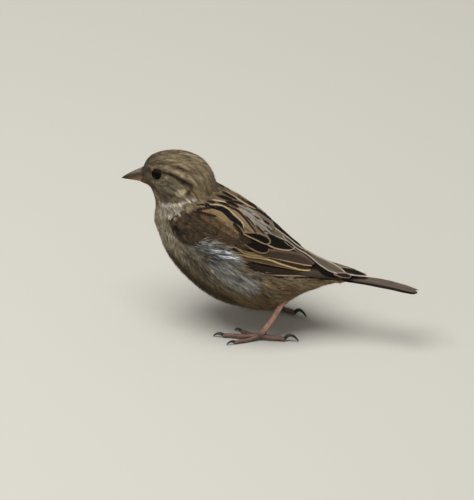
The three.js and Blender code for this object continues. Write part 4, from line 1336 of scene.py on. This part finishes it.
# The lid is a rim turned round the eye's axis, thick at its edge and thin where it meets the face.
def makeLid(side, turned, plan):
    shape = bmesh.new()
    profile = []
    for past, out in plan["lidProfile"]:
        angle = math.radians(plan["opening"]) + past
        reach = plan["radius"] * mm + plan["lidThick"] * mm * out
        profile.append(shape.verts.new((reach * math.sin(angle), 0, reach * math.cos(angle))))
    edges = [shape.edges.new((profile[k], profile[(k + 1) % len(profile)])) for k in range(len(profile))]
    bmesh.ops.spin(shape, geom=profile + edges, axis=(0, 0, 1), cent=(0, 0, 0), angle=2 * math.pi,
                   steps=plan["lidSteps"], use_merge=True)
    bmesh.ops.remove_doubles(shape, verts=shape.verts, dist=1e-7)
    bmesh.ops.recalc_face_normals(shape, faces=shape.faces)
    bmesh.ops.scale(shape, vec=(1.0, plan["lidSquash"], 1.0), verts=shape.verts)
    bmesh.ops.transform(shape, matrix=turned, verts=shape.verts)
    finishPiece(shape, side + "Eyelid", eyelidSkin)

def makeEye(side, plan):
    flip = np.array([1, 1 if side == "right" else -1, 1])
    centre = Vector(toFrame(np.array(plan["centre"]) * flip))
    axis = Vector(np.array(plan["look"]) * flip).normalized()
    turned = Matrix.Translation(centre) @ axis.to_track_quat("Z", "Y").to_matrix().to_4x4()
    shape = bmesh.new()
    bmesh.ops.create_uvsphere(shape, u_segments=40, v_segments=28, radius=plan["radius"] * mm, matrix=turned)
    ball, points = finishPiece(shape, side + "Eyeball", wetEye)
    away = np.degrees(np.arccos(np.clip(unit(points - fromFrame(centre)) @ np.array(axis), -1, 1)))
    colours = blend(paint(*plan["iris"]), paint(*plan["pupil"]), smooth(*plan["irisEdge"], away))
    addColours(ball.data, "eyeColour", colours)
    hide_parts(side + "_eye")
    makeLid(side, turned, plan)

for side in ("left", "right"):
    makeEye(side, eyePlan)
print("eyes set")

# The legs: a scaled shank, four padded toes and their claws.
legPlan = {
    # Heel, foot joint and how far the foot turns outwards, measured outwards from the bird's middle.
    "left": {"heel": (8.6, 10.6, 17.6), "foot": (-0.9, 14.4, 2.2), "turn": 0},
    "right": {"heel": (8.8, 10.9, 17.6), "foot": (-2.4, 15.4, 2.2), "turn": 9},
    "shank": [1.7, 1.3, 1.12, 1.08, 1.1, 1.25, 1.6],   # radius from the heel down, mm
    "shankRings": (64, 16), "toeRings": (44, 12), "clawRings": (18, 10),   # rings, and places on each
    "scutes": 9,
    "toes": {
        "outer": {"reach": (-9.8, 6.6), "radius": 1.0, "claw": 3.9, "rise": 1.7, "pads": 3},
        "middle": {"reach": (-16.2, 2), "radius": 1.15, "claw": 4.6, "rise": 2.0, "pads": 4},
        "inner": {"reach": (-9.6, -3.8), "radius": 1.0, "claw": 3.8, "rise": 1.7, "pads": 3},
        "hind": {"reach": (10, -1.5), "radius": 1.25, "claw": 6.3, "rise": 3.3, "pads": 2},
    },
    # Colour, colour of the seams, roughness and how fine the plates are.
    "scales": ((158, 121, 103), (96, 74, 64), 0.5, 1900), "claws": ((50, 40, 34), (44, 36, 30), 0.32, 700),
}

# Rings round a path; shapeAt(share, angle) scales the radius, angle 0 being the top or front.
def limbRings(path, radii, size, shapeAt, front=(0, 0, 1)):
    count, sides = size
    path = curveAt(path, np.linspace(0, 1, count))
    sizes = np.interp(np.linspace(0, 1, count), np.linspace(0, 1, len(radii)), radii)
    rings = []
    for k, (centre, way) in enumerate(zip(path, unit(np.gradient(path, axis=0)))):
        ahead = np.array(front, float)
        ahead = unit(ahead - way * (ahead @ way))
        aside = np.cross(way, ahead)
        ring = []
        for j in range(sides):
            angle = 2 * math.pi * j / sides
            size = sizes[k] * shapeAt(k / (count - 1), angle)
            ring.append(centre + ahead * size * math.cos(angle) + aside * size * math.sin(angle))
        rings.append(ring)
    return rings

# Keeps every place on or over the floor.
def grounded(rings):
    return [[np.array([x, y, max(z, 0.0)]) for x, y, z in ring] for ring in rings]

def legMaterial(name, colour, seam, roughness, scaleSize):
    make = MaterialMaker(name)
    where = make.where()
    cells = make.add("TexVoronoi", {"Vector": where, "Scale": scaleSize}, "Distance",
                     feature="DISTANCE_TO_EDGE")
    plate = make.mapped(cells, (0, 0.12))
    tone = make.mapped(make.noise(where, 500, 2), (0.3, 0.7), (0.75, 1.25))
    # The colour darkens towards the floor, so the toes are darker than the shank.
    lowDarkening = make.mapped(make.parts(where)[2], (0.003, 0.007), (0.5, 1.45))
    plated = make.mixed(plate, opaque(seam), opaque(colour))
    looks = {"Base Color": make.scaled(plated, make.maths("MULTIPLY", tone, lowDarkening)), "Roughness": roughness}
    return make.surface(looks, plate, 0.5, 0.00015)

scaleSkin = legMaterial("legScales", *legPlan["scales"])
clawHorn = legMaterial("clawHorn", *legPlan["claws"])

def join(shapes):
    whole = bmesh.new()
    for shape in shapes:
        mesh = bpy.data.meshes.new("part")
        shape.to_mesh(mesh)
        shape.free()
        whole.from_mesh(mesh)
        bpy.data.meshes.remove(mesh)
    return whole

def makeLeg(side, plan):
    leg = plan[side]
    flip = -1 if side == "left" else 1
    tube = lambda rings: ringTube([[p * [1, flip, 1] for p in ring] for ring in rings])
    heel, foot = np.array(leg["heel"]), np.array(leg["foot"])
    top = heel + (heel - foot) * 0.05 + np.array([-0.6, 0, 1.2])
    step = 1 / plan["scutes"]
    def shankShape(share, angle):
        front = max(0, math.cos(angle)) ** 0.7
        ledge = share % step / step
        return (1 + 0.09 * front * (ledge - 0.5)) * (0.86 + 0.2 * abs(math.cos(angle)))
    shank = [top, heel * 0.55 + foot * 0.45, foot]
    parts = [tube(limbRings(shank, plan["shank"], plan["shankRings"], shankShape, (-1, 0, 0.35)))]
    claws = []
    for toe in plan["toes"].values():
        reachX, reachY = toe["reach"]
        length, heading = math.hypot(reachX, reachY), math.atan2(reachY, reachX) - math.radians(leg["turn"])
        r, claw, rise, pads = toe["radius"], toe["claw"], toe["rise"], toe["pads"]
        def at(along, high):
            return np.array([foot[0] + math.cos(heading) * along, foot[1] + math.sin(heading) * along, high])
        def toeShape(share, angle):
            below = max(0, -math.cos(angle))
            swell = 0.5 - 0.5 * math.cos(2 * math.pi * share * pads)
            ledge = (share * pads * 3.2) % 1
            return 0.9 + 0.12 * below * swell + 0.07 * max(0, math.cos(angle)) * (ledge - 0.5)
        path = [at(-0.3, foot[2] - 0.1), at(1.9, foot[2] - 0.35), at(length * 0.38, r + 0.25),
                at(length * 0.6, r * 0.9), at(length * 0.82, r + 0.12), at(length, r * 0.9),
                at(length + 0.8 * r, r * 1.0)]
        radii = [r * share for share in (1.1, 1.05, 1.0, 0.97, 1.0, 0.88, 0.9, 0.62)]
        parts.append(tube(grounded(limbRings(path, radii, plan["toeRings"], toeShape))))
        begin = length + r * 0.35
        path = [at(begin, r * 1.05), at(begin + claw * 0.3, rise * 0.92),
                at(begin + claw * 0.62, rise * 0.86), at(begin + claw * 0.88, rise * 0.42),
                at(begin + claw, 0.16)]
        radii = [r * 0.72, r * 0.66, r * 0.5, r * 0.32, 0.07]
        flatSides = lambda share, angle: 0.78 + 0.22 * abs(math.cos(angle))
        claws.append(tube(grounded(limbRings(path, radii, plan["clawRings"], flatSides))))
    scaled = finishPiece(join(parts), side + "Foot", scaleSkin)[0]
    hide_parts(side + "_shank", *(side + "_" + name + "_toe" for name in plan["toes"]))
    nails = finishPiece(join(claws), side + "Claws", clawHorn)[0]
    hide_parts(*(side + "_" + name + "_claw" for name in plan["toes"]))

for side in ("left", "right"):
    makeLeg(side, legPlan)
print("legs made")
